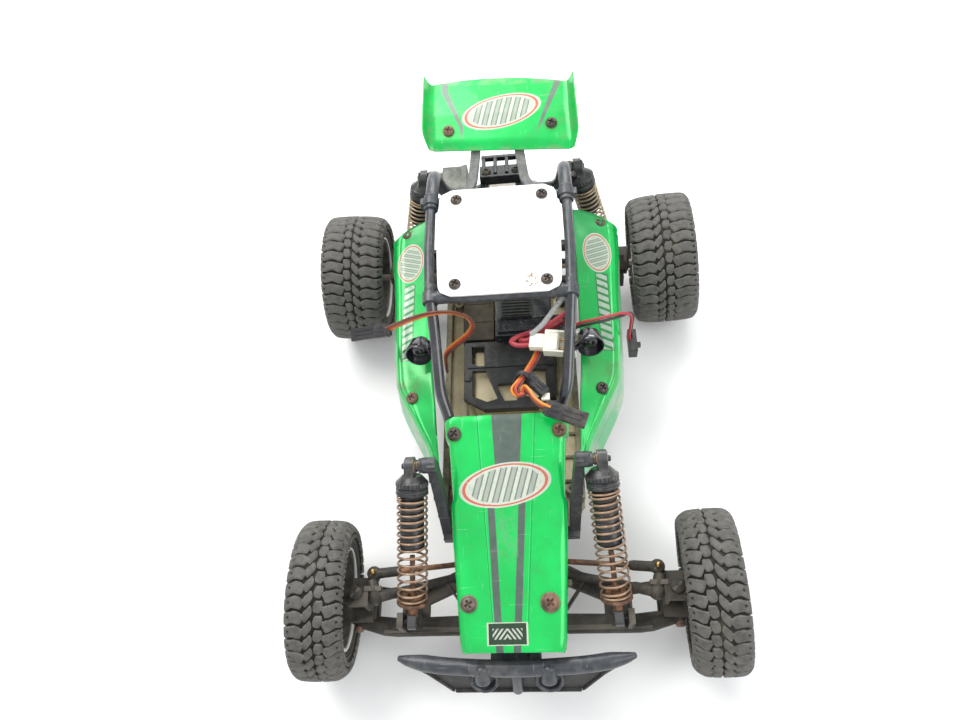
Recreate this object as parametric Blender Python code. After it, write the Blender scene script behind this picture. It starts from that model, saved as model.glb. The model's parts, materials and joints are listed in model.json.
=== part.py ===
"""Radio-controlled desert buggy, two-wheel drive, built from separate pieces on real joints.

All lengths are millimetres until piece() scales them to metres. +Z is up, the nose points to -Y.
Pieces named _left are on the driver's left (+X), pieces named _right on the driver's right (-X).
A side is +1 for left and -1 for right; sided coordinates are written for the left.
"""
import math
from collections import namedtuple

import bmesh
import bpy
from mathutils import Matrix, Vector

for old in list(bpy.data.objects):
    bpy.data.objects.remove(old, do_unlink=True)

# ---------------------------------------------------------------- driving dimensions
MM = 0.001
SIDES = (("left", 1), ("right", -1))
SHIFT_Y = -14.75                # puts the middle of the overall length on Y = 0
SMOOTH_ANGLE = math.radians(35.0)

WHEELBASE = 200.0
FRONT_Y, REAR_Y = -WHEELBASE / 2, WHEELBASE / 2
TYRE_R = 39.0
RIM_R = 25.4
AXLE_Z = TYRE_R

GAP = 0.3
PIN_R, BORE_R = 1.4, 1.75       # hinge pins and the bores that turn on them
STUD_R = 1.2
TOP_STUD_R = STUD_R + 0.2       # upper shock studs
LOW_PIN_R = 1.0                 # lower shock pins
FLOOR_Z = (24.0, 27.0)
ON_FLOOR = FLOOR_Z[1] + GAP     # underside of pieces standing on the floor
TUB_HALF = 38.0
SHELL = 1.1                     # thickness of the body panels and wing

# suspension hinges as (x, z)
ARM_F_IN = (14.0, 30.0)
ARM_F_OUT = (80.0, 31.0)
ARM_R_IN = (17.0, 30.0)
ARM_R_OUT = (68.0, 31.0)

# joints as (x, y, z) on the left side
CAMBER_F_IN = (26.0, -91.0, 42.5)
CAMBER_F_OUT = (68.3, -101.9, 48.0)
CAMBER_R_IN = (22.0, 90.0, 58.0)
CAMBER_R_OUT = (64.0, 90.0, 53.0)
TIE_IN = (11.0, -85.5, 49.0)
STEER_BALL = (70.0, -90.0, 47.0)
SHOCK_F_TOP = (44.1, -50.8, 92.0)
SHOCK_F_LOW = (49.6, -112.9, 45.9)
SHOCK_R_TOP = (44.5, 129.0, 95.0)
SHOCK_R_LOW = (60.0, 116.0, 38.0)
SHAFT_R_IN = (15.0, REAR_Y, AXLE_Z)
SHAFT_R_OUT = (64.6, REAR_Y, AXLE_Z)
KINGPIN_X = 78.0
HORN_Y, HORN_LEN = -71.75, 9.0

# Faces are the inner and outer x of the tyre. The wheels lean in at the top about the middle
# of their width at height centre_z; slope is the rise of the spin axis outwards.
Axle = namedtuple("Axle", "y faces centre_z slope")
FRONT_AXLE = Axle(FRONT_Y, (81.5, 109.5), 39.35, math.tan(math.radians(6.5)))
REAR_AXLE = Axle(REAR_Y, (75.0, 113.0), 39.5, math.tan(math.radians(4.5)))

MODULE, SPUR_TEETH, PINION_TEETH = 0.6, 48, 16
SPUR_Y, SPUR_Z = 122.0, 54.0
PINION_Y = SPUR_Y + (SPUR_TEETH + PINION_TEETH) * MODULE / 2 * 0.995 + 0.25
PINION_Z = SPUR_Z

SHOCK_BODY_R, SHOCK_CAP_R = 5.75, 7.6
SPRING_R, WIRE_R = 7.05, 0.65
CAGE_R, RAIL_R, POST_R = 3.0, 2.3, 3.4

# ---------------------------------------------------------------- materials
GREEN = dict(rgb=(0.0, 0.42, 0.06), roughness=0.25, metallic=0.35)
WHITE = dict(rgb=(0.85, 0.85, 0.83), roughness=0.3, metallic=0.0)
RIM_WHITE = dict(rgb=(0.72, 0.72, 0.70), roughness=0.35, metallic=0.0)
BLACK = dict(rgb=(0.025, 0.026, 0.028), roughness=0.5, metallic=0.0)
NYLON = dict(rgb=(0.05, 0.052, 0.055), roughness=0.65, metallic=0.0)
DUSTY = dict(rgb=(0.10, 0.09, 0.075), roughness=0.8, metallic=0.0)
RUBBER = dict(rgb=(0.055, 0.052, 0.046), roughness=0.9, metallic=0.0)
STEEL = dict(rgb=(0.45, 0.38, 0.30), roughness=0.45, metallic=0.9)
BRASS = dict(rgb=(0.50, 0.30, 0.14), roughness=0.4, metallic=0.9)


def material(name, rgb, roughness, metallic):
    mat = bpy.data.materials.new(name)
    mat.use_nodes = True
    inputs = mat.node_tree.nodes["Principled BSDF"].inputs
    inputs["Base Color"].default_value = (*rgb, 1.0)
    inputs["Roughness"].default_value = roughness
    inputs["Metallic"].default_value = metallic
    mat.diffuse_color = (*rgb, 1.0)
    return mat


# ---------------------------------------------------------------- mesh helpers
def mirror(point, side):
    return (point[0] * side, *point[1:])


def mirrored(points, side):
    return [mirror(point, side) for point in points]


def loft(sections, closed=False):
    """Skins rings of equal point count; capped at both ends unless the rings close on themselves."""
    bm = bmesh.new()
    rings = [[bm.verts.new(p) for p in section] for section in sections]
    n, count = len(rings[0]), len(rings)
    for i in range(count if closed else count - 1):
        a, b = rings[i], rings[(i + 1) % count]
        for j in range(n):
            bm.faces.new((a[j], a[(j + 1) % n], b[(j + 1) % n], b[j]))
    if not closed:
        bm.faces.new(rings[0][::-1])
        bm.faces.new(rings[-1])
    bmesh.ops.remove_doubles(bm, verts=bm.verts, dist=0.002)
    bmesh.ops.recalc_face_normals(bm, faces=bm.faces)
    mesh = bpy.data.meshes.new("tmp")
    bm.to_mesh(mesh)
    bm.free()
    ob = bpy.data.objects.new("tmp", mesh)
    bpy.context.collection.objects.link(ob)
    return ob


def stack(rows, side=1):
    """Solid through level rectangles, each row (x0, x1, y0, y1, z)."""
    return loft([mirrored([(x0, y0, z), (x1, y0, z), (x1, y1, z), (x0, y1, z)], side)
                 for x0, x1, y0, y1, z in rows])


def box(x0, x1, y0, y1, z0, z1):
    return stack([(x0, x1, y0, y1, z) for z in (z0, z1)])


def box_on(side, x0, x1, *yz):
    """Box given for the left, placed on either side."""
    return box(*sorted((side * x0, side * x1)), *yz)


def slab(points, z0, z1):
    """Plan outline (x, y) raised from z0 to z1."""
    return loft([[(x, y, z) for x, y in points] for z in (z0, z1)])


def plate_x(points, x0, x1):
    """Side outline (y, z) between two x."""
    return loft([[(x, y, z) for y, z in points] for x in (x0, x1)])


def frame_for(direction):
    """Two unit vectors square to the direction, and the unit direction."""
    w = Vector(direction).normalized()
    ref = Vector((0, 0, 1)) if abs(w.z) < 0.9 else Vector((1, 0, 0))
    u = ref.cross(w).normalized()
    return u, w.cross(u).normalized(), w


def spoke(u, v, angle):
    return u * math.cos(angle) + v * math.sin(angle)


def rod(start, end, radius, n=12, end_radius=None):
    start, end = Vector(start), Vector(end)
    u, v, _ = frame_for(end - start)
    ends = ((start, radius), (end, radius if end_radius is None else end_radius))
    return loft([[c + spoke(u, v, 2 * math.pi * k / n) * r for k in range(n)] for c, r in ends])


def rod_x(x0, x1, y, z, radius, n=12, end_radius=None):
    return rod((x0, y, z), (x1, y, z), radius, n, end_radius)


def rod_y(x, y0, y1, z, radius, n=12):
    return rod((x, y0, z), (x, y1, z), radius, n)


def rod_z(x, y, z0, z1, radius, n=12):
    return rod((x, y, z0), (x, y, z1), radius, n)


def tube(path, radius, n=8):
    """Round bar along a polyline, mitred at each corner."""
    points = [Vector(p) for p in path]
    headings = [(b - a).normalized() for a, b in zip(points, points[1:])]
    u, v, _ = frame_for(headings[0])
    rings = []
    for i, centre in enumerate(points):
        offsets = [spoke(u, v, 2 * math.pi * k / n) * radius for k in range(n)]
        if 0 < i < len(points) - 1:
            before, after = headings[i - 1], headings[i]
            mitre = (before + after).normalized()
            offsets = [o - before * (o.dot(mitre) / before.dot(mitre)) for o in offsets]
            turn = before.rotation_difference(after)
            u, v = turn @ u, turn @ v
        rings.append([centre + o for o in offsets])
    return loft(rings)


def lathe(profile, start, direction, n=24):
    """Closed outline (along, radius) turned about a line; no outline point lies on the line."""
    start = Vector(start)
    u, v, w = frame_for(direction)
    rings = []
    for k in range(n):
        out = spoke(u, v, 2 * math.pi * k / n)
        rings.append([start + w * along + out * radius for along, radius in profile])
    return loft(rings, closed=True)


def boolean(target, others, operation):
    for other in others:
        mod = target.modifiers.new(operation, "BOOLEAN")
        mod.operation = operation
        mod.solver = "EXACT"
        mod.object = other
    depsgraph = bpy.context.evaluated_depsgraph_get()
    mesh = bpy.data.meshes.new_from_object(target.evaluated_get(depsgraph))
    target.modifiers.clear()
    target.data = mesh
    for other in others:
        bpy.data.objects.remove(other, do_unlink=True)
    return target


def union(target, *others):
    return boolean(target, others, "UNION")


def cut(target, *others):
    return boolean(target, others, "DIFFERENCE")


def piece(name, ob, look, origin=(0.0, 0.0, 0.0)):
    """Cleans and names the object, scales it to metres, puts its origin on its joint."""
    bm = bmesh.new()
    bm.from_mesh(ob.data)
    bmesh.ops.remove_doubles(bm, verts=bm.verts, dist=0.004)
    bmesh.ops.dissolve_degenerate(bm, edges=bm.edges, dist=0.004)
    bmesh.ops.dissolve_limit(bm, angle_limit=math.radians(0.05), verts=bm.verts, edges=bm.edges)
    bmesh.ops.triangulate(bm, faces=bm.faces)
    origin = Vector(origin)
    for vert in bm.verts:
        vert.co = (vert.co - origin) * MM
    bmesh.ops.recalc_face_normals(bm, faces=bm.faces)
    mesh = bpy.data.meshes.new(name)
    bm.to_mesh(mesh)
    bm.free()
    mesh.shade_smooth()
    mesh.set_sharp_from_angle(angle=SMOOTH_ANGLE)
    ob.data = mesh
    mesh.materials.clear()
    mesh.materials.append(material(name, **look))
    ob.name = name
    ob.location = origin * MM
    ob.parent = ROOT


# ---------------------------------------------------------------- chassis
TUB_OUTLINE = [             # x, y
    (-9.5, -118), (9.5, -118), (9.5, -82), (16, -78), (TUB_HALF, -52), (TUB_HALF, 84),
    (13, 90), (13, 131), (-13, 131), (-13, 90), (-TUB_HALF, 84), (-TUB_HALF, -52),
    (-16, -78), (-9.5, -82)]


def chassis_tub():
    parts = [
        box(-9.5, 9.5, -120, -84, 24.5, 38.5),          # block between the front arms
        box(-5, 5, -97.2, -94.6, 37, 45),               # neck of the camber link bar
        box(-28.5, 28.5, -97.2, -94.6, 39.8, 45.2),     # camber link bar
        box(-18, 18, -120, -117, 24.5, 35),             # front hinge plates
        box(-18, 18, -81.5, -78.5, 24.5, 35),
        box(-21, 21, 87.6, 90.8, 24.5, 35),             # rear hinge plates
        box(-21, 21, 127.6, 131, 24.5, 35)]
    for _, side in SIDES:
        parts += [
            box_on(side, 36.0, TUB_HALF, -50, 84, 26, 36),      # side wall
            rod_y(side * ARM_F_IN[0], -120, -78.5, ARM_F_IN[1], PIN_R),
            rod_y(side * ARM_R_IN[0], 87.6, 131, ARM_R_IN[1], PIN_R),
            rod_y(side * CAMBER_F_IN[0], -95, -88.9, CAMBER_F_IN[2], STUD_R)]
    piece("chassis_tub", union(slab(TUB_OUTLINE, *FLOOR_Z), *parts), DUSTY)


FRONT_POST = [              # x0, x1, y0, y1, z
    (28.6, 33.5, -77, -72, 53),
    (29.4, 34.6, -69, -62.5, 66),
    (32.2, 36.6, -55, -47.5, 88),
    (32.6, 36.6, -53.5, -48.3, 95.5)]


def front_shock_tower():
    crossbar = box(-33.5, 33.5, -77, -72, 53, 58)
    _, y, z = SHOCK_F_TOP
    parts = []
    for _, side in SIDES:
        parts += [
            box_on(side, 14.0, 18.5, -77, -72, ON_FLOOR, 54),   # leg
            stack(FRONT_POST, side),
            rod_x(side * 35, side * 40.7, y, z, 3.5, 16),       # boss under the shock stud
            rod_x(side * 39, side * 48.3, y, z, TOP_STUD_R)]
    piece("front_shock_tower", union(crossbar, *parts), NYLON)


def front_bumper():
    hoop = tube([(-55, -130, 45), (-30, -133.5, 45.5), (0, -135, 46), (30, -133.5, 45.5),
                 (55, -130, 45)], 4.0, 10)
    skid = loft([
        [(-50, -130.2, 44.2), (50, -130.2, 44.2), (50, -133.6, 44.8), (-50, -133.6, 44.8)],
        [(-31, -138.4, 27), (31, -138.4, 27), (31, -142, 27.5), (-31, -142, 27.5)]])
    parts = [skid,
             box(-9, 9, -136, -120.3, 27.3, 31.5),      # lower and upper stems
             box(-12, 12, -134.5, -120.3, 31, 42)]
    ring = [(0, 3.2), (0, 5.4), (3.4, 5.4), (3.4, 3.2)]
    for _, side in SIDES:
        parts.append(lathe(ring, (side * 15.5, -134.6, 36.0), (0, -0.62, 0.78), 16))
    piece("front_bumper", union(hoop, *parts), NYLON)


# ---------------------------------------------------------------- body panels
NOSE_Y, NOSE_LEN = -129.5, 108.5
NOSE_STATIONS = (           # y, depth of the side walls
    (-129.5, 3.5), (-110, 4.5), (-95, 5.0), (-75, 8.0), (-50, 8.0), (-30, 9.0), (-21, 9.0))


def nose_panel():
    """Open-bottomed channel that widens and rises towards the back."""
    chamfer, chamfer_drop = 3.2, 1.6
    sections = []
    for y, depth in NOSE_STATIONS:
        w = 24.0 + 7.0 * (y - NOSE_Y) / NOSE_LEN
        z = 58.0 + 24.0 * (y - NOSE_Y) / NOSE_LEN
        foot, edge = z - depth, z - chamfer_drop
        inner_x, inner_edge, flat = w - SHELL, edge - SHELL * 0.4, w - chamfer - 0.4
        sections.append([
            (-w, y, foot), (-w, y, edge), (-w + chamfer, y, z),
            (w - chamfer, y, z), (w, y, edge), (w, y, foot),
            (inner_x, y, foot), (inner_x, y, inner_edge), (flat, y, z - SHELL),
            (-flat, y, z - SHELL), (-inner_x, y, inner_edge), (-inner_x, y, foot)])
    piece("nose_panel", loft(sections), GREEN)


SIDE_STATIONS = (           # y, inner x, inner z, outer x, outer z, wall foot x, wall foot z
    (109.0, 40.8, 80.5, 46.5, 79.5, 47.2, 77.0),
    (104.0, 40.8, 80.2, 62.0, 75.5, 63.6, 72.6),
    (95.0, 40.8, 79.8, 65.0, 74.0, 66.4, 71.0),
    (82.0, 40.7, 79.4, 64.6, 73.4, 66.0, 70.2),
    (71.0, 40.6, 79.0, 63.8, 73.0, 66.2, 56.0),
    (60.0, 40.5, 78.5, 63.0, 72.5, 66.2, 50.0),
    (20.0, 40.0, 76.5, 61.0, 70.5, 64.4, 42.0),
    (4.0, 39.0, 74.0, 59.5, 69.0, 63.0, 39.0),
    (-6.0, 38.0, 72.0, 54.5, 67.5, 58.5, 37.0),
    (-30.0, 36.6, 68.0, 42.0, 66.0, 46.0, 35.0),
    (-46.0, 35.6, 64.5, 37.6, 64.0, 40.6, 34.0))


def side_panel(label, side):
    edge = 1.6                          # width of the bevel along the outer edge
    sections = []
    for y, in_x, in_z, out_x, out_z, foot_x, foot_z in SIDE_STATIONS:
        top_z, bevel_z = out_z + 0.3, out_z - edge * 0.7
        sections.append(mirrored([
            (in_x, y, in_z), (out_x - edge, y, top_z), (out_x, y, bevel_z), (foot_x, y, foot_z),
            (foot_x - SHELL, y, foot_z), (out_x - SHELL, y, bevel_z - 0.3),
            (out_x - edge - 0.5, y, top_z - SHELL), (in_x, y, in_z - SHELL)], side))
    piece("side_panel_" + label, loft(sections), GREEN)


TOP_SLOPE = 0.085           # rise per mm backwards of the roof and the cage rails
ROOF_OUTLINE = [            # x, y
    (-31, 34.5), (-26.5, 32), (26.5, 32), (31, 34.5), (32.5, 60), (31, 92), (26, 97.5),
    (-26, 97.5), (-31, 92), (-32.5, 60)]


def roof_panel():
    thickness = 1.4
    sections = [[(x, y, 109.6 + (y - 34) * TOP_SLOPE + lift) for x, y in ROOF_OUTLINE]
                for lift in (0.0, thickness)]
    piece("roof_panel", loft(sections), WHITE)


WING_TURN = math.radians(4.6)
WING_SHIFT_X = 2.2
WING_HALF = 38.3
WING_STATIONS = ((0.0, -1.8), (0.1, 0.0), (0.5, 0.8), (1.0, 0.0))   # chord fraction, lift
WING_LOW = [(-WING_HALF, 0.0), (-20, 0.2), (0, 0.3), (20, 0.2), (WING_HALF, 0.0)]   # x, dz
WING_TOP = [(37.4, SHELL), (20, 0.2 + SHELL), (0, 0.3 + SHELL), (-20, 0.2 + SHELL),
            (-37.4, SHELL)]


def wing_point(x, y, z):
    """The wing stands a little turned in plan and to the left."""
    return (WING_SHIFT_X + x * math.cos(WING_TURN), y - x * math.sin(WING_TURN), z)


def rear_wing():
    """Cross sections run from the leading edge back, with an upturned fin at each end."""
    sections = []
    for t, lift in WING_STATIONS:
        z = 114.9 + 10.5 * t + lift

        def chord_y(x):
            return 126.5 + 40.5 * t + 4.0 * t * (1 - (x / WING_HALF) ** 2)

        fin_x = 43.4 - 1.2 * t
        fin_y = chord_y(WING_HALF)
        fin_z = z + (4.2 if t < 0.05 else 6.4 - 0.8 * t)
        fin = [(fin_x, fin_y, fin_z), (fin_x - SHELL, fin_y, fin_z + 0.2)]
        points = ([(x, chord_y(x), z + dz) for x, dz in WING_LOW] + fin
                  + [(x, chord_y(x), z + dz) for x, dz in WING_TOP] + mirrored(fin[::-1], -1))
        sections.append([wing_point(*p) for p in points])
    piece("rear_wing", loft(sections), GREEN)


# ---------------------------------------------------------------- roll cage
def rail_z(y):
    return 106.4 + (y - 36) * TOP_SLOPE


RAIL = [(36.0, 36.0, rail_z(36)), (37.0, 60.0, rail_z(60) + 0.6), (36.6, 95.0, rail_z(95))]
FRONT_PILLAR = [
    (36.0, 37.5, rail_z(36) + 0.6), (35.2, 26, 100.5), (31.4, -9, 83.6), (26.0, -19.0, 76.2),
    (24.4, -28, 69.6), (23.5, -42, 60.5)]
WING_STRUT = [              # four corners of each section, front to back
    [(25, 93.8, 104.4), (30, 93.8, 104.6), (30, 93.8, 109.2), (25, 93.8, 109.2)],
    [(12.0, 109.5, 104.0), (17.5, 108.5, 104.0), (17.5, 108.5, 107.6), (12.0, 109.5, 107.6)],
    [(9.6, 131.0, 109.4), (14.6, 131.0, 109.4), (14.6, 130.6, 112.8), (9.6, 130.6, 112.8)],
    [(9.6, 146.0, 116.9), (14.6, 146.0, 116.9), (14.6, 145.6, 119.8), (9.6, 145.6, 119.8)]]
LAMP_X = 43.5


def roll_cage():
    """Cage with its lamp buckets and wing struts."""
    back_z = rail_z(95) - 1.2
    parts = [
        tube(mirrored(RAIL, -1), RAIL_R + 0.4),
        tube([(-36.0, 35.0, rail_z(35)), (36.0, 35.0, rail_z(35))], RAIL_R + 0.5),
        tube([(-36.6, 95.0, back_z), (36.6, 95.0, back_z)], RAIL_R)]
    for _, side in SIDES:
        lamp_x = side * LAMP_X
        parts += [
            tube(mirrored(FRONT_PILLAR, side), CAGE_R),
            tube(mirrored([(33.2, 8, 90.5), (40.5, 15.0, 84.5)], side), 2.0),   # lamp arm
            # collars at the back and front corners
            rod((side * 36.6, 90.5, rail_z(90)), (side * 36.7, 96.8, rail_z(97)), 4.3),
            rod((side * 36.0, 31.5, rail_z(33) - 1.2), (side * 36.0, 38.2, rail_z(38) - 0.2), 4.1),
            rod((lamp_x, 22.8, 84.0), (lamp_x, 12.6, 86.2), 3.6, 14, 6.2),      # lamp bucket
            loft([mirrored(section, side) for section in WING_STRUT])]
    cage = union(tube(RAIL, RAIL_R + 0.4), *parts)
    hollows = [rod((side * LAMP_X, 15.6, 85.55), (side * LAMP_X, 12.0, 86.35), 3.4, 14, 5.4)
               for _, side in SIDES]
    piece("roll_cage", cut(cage, *hollows), NYLON)


# ---------------------------------------------------------------- cockpit internals
def battery_hold_down():
    plate = slab([(-22, 0), (22, 0), (25.5, 9), (25.5, 43), (-26, 43), (-26, 9)], 38, 41)
    front_window = [(-15, 4.5), (14, 4.5), (17, 10), (17, 15.5), (-17, 15.5), (-17, 10)]
    plate = cut(plate, slab(front_window, 37, 42),
                box(-19, -3.5, 19.5, 38.5, 37, 42), box(3.5, 19, 19.5, 38.5, 37, 42))
    legs = [box(x0, x1, y0, y1, ON_FLOOR, 39)
            for y0, y1 in ((12, 18), (36, 42)) for x0, x1 in ((-26, -23), (22.5, 25.5))]
    piece("battery_hold_down", union(plate, *legs), BLACK)


def speed_control():
    case = box(-8, 24, 45.5, 72, ON_FLOOR, 50)
    piece("speed_control", union(case, box(-4, 20, 49, 68, 49, 53.5)), BLACK)


def steering_servo():
    servo = union(
        box(-7, 7, -70.6, -44, ON_FLOOR, 43.2),
        box(-7, 7, -76.5, -70, 30, 40.5),           # block in front
        box(-10.5, 10.5, -68, -64.5, 33, 36),       # ears
        rod_z(0, HORN_Y, 40, 43.4, 3.6, 14),
        rod_z(0, HORN_Y, 43, 46.6, 1.3))            # output shaft
    piece("steering_servo", servo, BLACK)


# ---------------------------------------------------------------- transmission, motor, gears
GEAR_MID_X = -22
COVER_WALL = 1.5


def transmission_case():
    camber_studs = [rod_y(side * CAMBER_R_IN[0], 94, 87.6, CAMBER_R_IN[2], STUD_R)
                    for _, side in SIDES]
    case = union(
        box(-13, 13, 92, 126.5, 27.6, 60),
        rod_x(-16.5, 12, SPUR_Y, SPUR_Z, 5.2, 16),
        box(-25, 25, 93.6, 96.4, 54.5, 61.5),       # camber link bar
        *camber_studs,
        rod_x(-12, -25.8, SPUR_Y, SPUR_Z, 1.5))     # spur gear shaft
    piece("transmission_case", case, NYLON)


def motor():
    can = union(
        rod_x(-16.5, 21, PINION_Y, PINION_Z, 12.8, 24),
        rod_x(20, 24, PINION_Y, PINION_Z, 4.5, 16),
        rod_x(-16, -18.0, PINION_Y, PINION_Z, 4.2, 16),
        rod_x(-17, -26, PINION_Y, PINION_Z, 1.1))   # pinion shaft
    piece("motor", can, STEEL)


def gear(start, teeth, width, bore_r):
    """Spur gear with straight-sided teeth, running from its face at start towards -X."""
    u, v, w = frame_for((-1, 0, 0))
    start = Vector(start)
    pitch_r = teeth * MODULE / 2
    tip_r, root_r = pitch_r + 0.8 * MODULE, pitch_r - 1.1 * MODULE
    step = 2 * math.pi / teeth
    outline = []
    for tooth in range(teeth):
        middle = 2 * math.pi * tooth / teeth
        # tooth corners: fraction of a tooth step from the middle, radius
        for f, radius in ((-0.34, root_r), (-0.13, tip_r), (0.13, tip_r), (0.34, root_r)):
            outline.append(spoke(u, v, middle + f * step) * radius)
    blank = loft([[start + w * along + p for p in outline] for along in (0.0, width)])
    return cut(blank, rod(start - w, start + w * (width + 1), bore_r, 16))


def spur_gear():
    ob = gear((-20.2, SPUR_Y, SPUR_Z), SPUR_TEETH, 4.0, 1.8)
    piece("spur_gear", ob, NYLON, (GEAR_MID_X, SPUR_Y, SPUR_Z))


def pinion_gear():
    """Turned by half a tooth so that it meshes with the spur gear."""
    ob = gear((-20.0, PINION_Y, PINION_Z), PINION_TEETH, 4.6, 1.4)
    ob.data.transform(Matrix.Translation((0, PINION_Y, PINION_Z))
                      @ Matrix.Rotation(math.pi / PINION_TEETH, 4, "X")
                      @ Matrix.Translation((0, -PINION_Y, -PINION_Z)))
    piece("pinion_gear", ob, BRASS, (GEAR_MID_X, PINION_Y, PINION_Z))


def arc(y, z, radius, start, stop):
    """Points (y, z) every 20 degrees."""
    angles = [math.radians(a) for a in range(start, stop + 1, 20)]
    return [(y + radius * math.cos(a), z + radius * math.sin(a)) for a in angles]


def cover_outline(inset):
    return (arc(SPUR_Y, SPUR_Z, 17.2 - inset, 80, 280)
            + arc(PINION_Y, PINION_Z, 10.5 - inset, -70, 70))


def gear_cover():
    cover = cut(plate_x(cover_outline(0.0), -29.5, -18.6),
                plate_x(cover_outline(COVER_WALL), -27.8, -18.0))
    # tapered block above the cover
    trunk = stack([(-39, -22, 134.5, 156, 63.4), (-37.5, -22, 136, 155, 75.5)])
    piece("gear_cover", union(cover, trunk), DUSTY)


# ---------------------------------------------------------------- rear shock tower
REAR_POST = [
    (36.7, 98.9, 110.2), (36.8, 115.5, 106.6), (36.7, 121.0, 103.2), (36.3, 124.2, 96.0),
    (35.0, 126.5, 86.0), (31.0, 128.0, 79.6), (16.0, 130.5, 77.0), (10.5, 134.5, 76.4)]


def rear_shock_tower():
    """Thick bent corner posts, a cross piece on two legs and a slotted brace."""
    _, y, z = SHOCK_R_TOP
    crosspiece = box(-13, 13, 138, 143, 78, 84)
    parts = [box(-13, 13, 116, 126, 60.4, 64)]      # foot on the transmission case
    parts += [stack([(x, x + 5, 118, 125.5, 61), (x, x + 5, 137, 142.5, 81)]) for x in (-13, 8)]
    parts.append(box(-11, 11, 139, 151, 83, 86))    # brace
    for _, side in SIDES:
        parts += [
            tube(mirrored(REAR_POST, side), POST_R, 10),
            rod_x(side * 35, side * 41.0, y, z, 3.3, 14),
            rod_x(side * 39, side * 48.6, y, z, TOP_STUD_R)]
    tower = union(crosspiece, *parts)
    slots = [box(x - 2.4, x + 2.4, 143.6, 149.5, 82, 87) for x in (-7.0, 0.0, 7.0)]
    piece("rear_shock_tower", cut(tower, *slots), NYLON)


# ---------------------------------------------------------------- switch on the left side panel
def switch():
    housing = cut(box(66.9, 71.5, 24, 38, 52, 60), box(69.8, 73, 26.2, 35.8, 53.8, 58.2))
    piece("switch_housing", housing, BLACK)
    slider = union(box(70.2, 71.2, 27.0, 32.4, 54.1, 57.9), box(71.0, 73.6, 28.6, 30.8, 54.4, 57.6))
    piece("switch_slider", slider, BLACK, (70.6, 29.7, 56))


# ---------------------------------------------------------------- steering
def servo_horn():
    back, end, tip = HORN_Y - 2, HORN_Y - HORN_LEN, HORN_Y - HORN_LEN - 2.0
    horn = slab([(-3.6, back), (-2.6, end), (-1.4, tip), (1.4, tip), (2.6, end), (3.6, back),
                 (3.6, HORN_Y + 2.4), (-3.6, HORN_Y + 2.4)], 43.8, 46.4)
    horn = union(horn, rod_z(0, HORN_Y, 43.8, 47.4, 4.2, 14))
    horn = cut(horn, rod_z(0, HORN_Y, 43.0, 46.8, 1.6))
    piece("servo_horn", horn, WHITE, (0, HORN_Y, 45))


def steering_link():
    studs = [rod_y(side * TIE_IN[0], -82, -88.2, TIE_IN[2], STUD_R) for _, side in SIDES]
    link = union(box(-14, 14, -82.2, -79.4, 46.9, 51.2), *studs)
    piece("steering_link", link, NYLON, (0, -80.75, 49))


# ---------------------------------------------------------------- shocks
SPRING_TURNS, STEPS_PER_TURN = 7, 8
WIRE_CORNERS = (0.785, 2.356, 3.927, 5.498)     # angles of the four-sided wire section


def clamp(value):
    return min(1.0, max(0.0, value))


def spring(top, down, start, end):
    """Coil about the line from top; start and end are distances of the wire down it."""
    u, v, w = frame_for(down)
    steps = SPRING_TURNS * STEPS_PER_TURN
    rings = []
    for i in range(steps + 1):
        f = i / steps
        out = spoke(u, v, 2 * math.pi * i / STEPS_PER_TURN)
        # the pitch tightens towards both ends, where the wire lies nearly flat
        eased = 0.5 - 0.5 * math.cos(math.pi * clamp((f - 0.06) / 0.88))
        travel = 0.35 * eased + 0.65 * clamp((f - 0.05) / 0.9)
        centre = top + down * (start + (end - start) * travel) + out * SPRING_R
        rings.append([centre + spoke(out, w, a) * WIRE_R for a in WIRE_CORNERS])
    return loft(rings)


def shock(prefix, label, side, top, low, body_len, spring_low):
    """body_len and spring_low are distances down the shock from its top eye."""
    top, low = Vector(mirror(top, side)), Vector(mirror(low, side))
    length = (top - low).length
    down = (low - top) / length

    def at(distance):
        return top + down * distance

    def across(centre, half, radius, n):
        return rod_x(centre.x - side * half, centre.x + side * half, centre.y, centre.z, radius, n)

    body = lathe([(4.5, 0.9), (4.5, 3.4), (6.2, 6.6), (7.0, SHOCK_CAP_R), (13.5, SHOCK_CAP_R),
                  (14.0, SHOCK_BODY_R), (body_len, SHOCK_BODY_R), (body_len, 1.75),
                  (16.0, 1.75), (16.0, 0.9)], top, down, 20)
    # a plug closes the narrow bore the turned outline leaves in the top of the body
    plug = rod(at(3.8), at(17.0), 1.3, 8)
    neck = rod(at(1.0), at(6.5), 3.0)
    body = union(body, plug, neck, across(top, 2.7, 3.9, 16))
    body = cut(body, across(top, 6, 2.3, 16))
    piece(f"{prefix}_shock_body_{label}", body, BLACK, top)

    shaft = union(
        rod(at(spring_low - 16.0 - 6.0), at(length - 5.2), 1.25, 10),
        rod(at(spring_low + 0.35), at(spring_low + 2.1), SHOCK_CAP_R, 20),              # seat
        rod(at(spring_low + 1.7), at(spring_low + 3.4), SHOCK_CAP_R - 0.8, 18, 3.8),    # cup
        rod(at(spring_low + 2.6), at(length - 3.5), 2.3, 9),                            # neck
        across(low, 2.0, 4.2, 16))
    shaft = cut(shaft, across(low, 5, 2.85, 12))
    piece(f"{prefix}_shock_shaft_{label}", shaft, STEEL, top)

    coil = spring(top, down, 14.5 + WIRE_R, spring_low - WIRE_R)
    piece(f"{prefix}_spring_{label}", coil, BRASS, top)


def shocks(label, side):
    shock("front", label, side, SHOCK_F_TOP, SHOCK_F_LOW, 41.0, 66.3)
    rear_length = (Vector(SHOCK_R_TOP) - Vector(SHOCK_R_LOW)).length
    shock("rear", label, side, SHOCK_R_TOP, SHOCK_R_LOW, 32.0, rear_length - 9.5)


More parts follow.
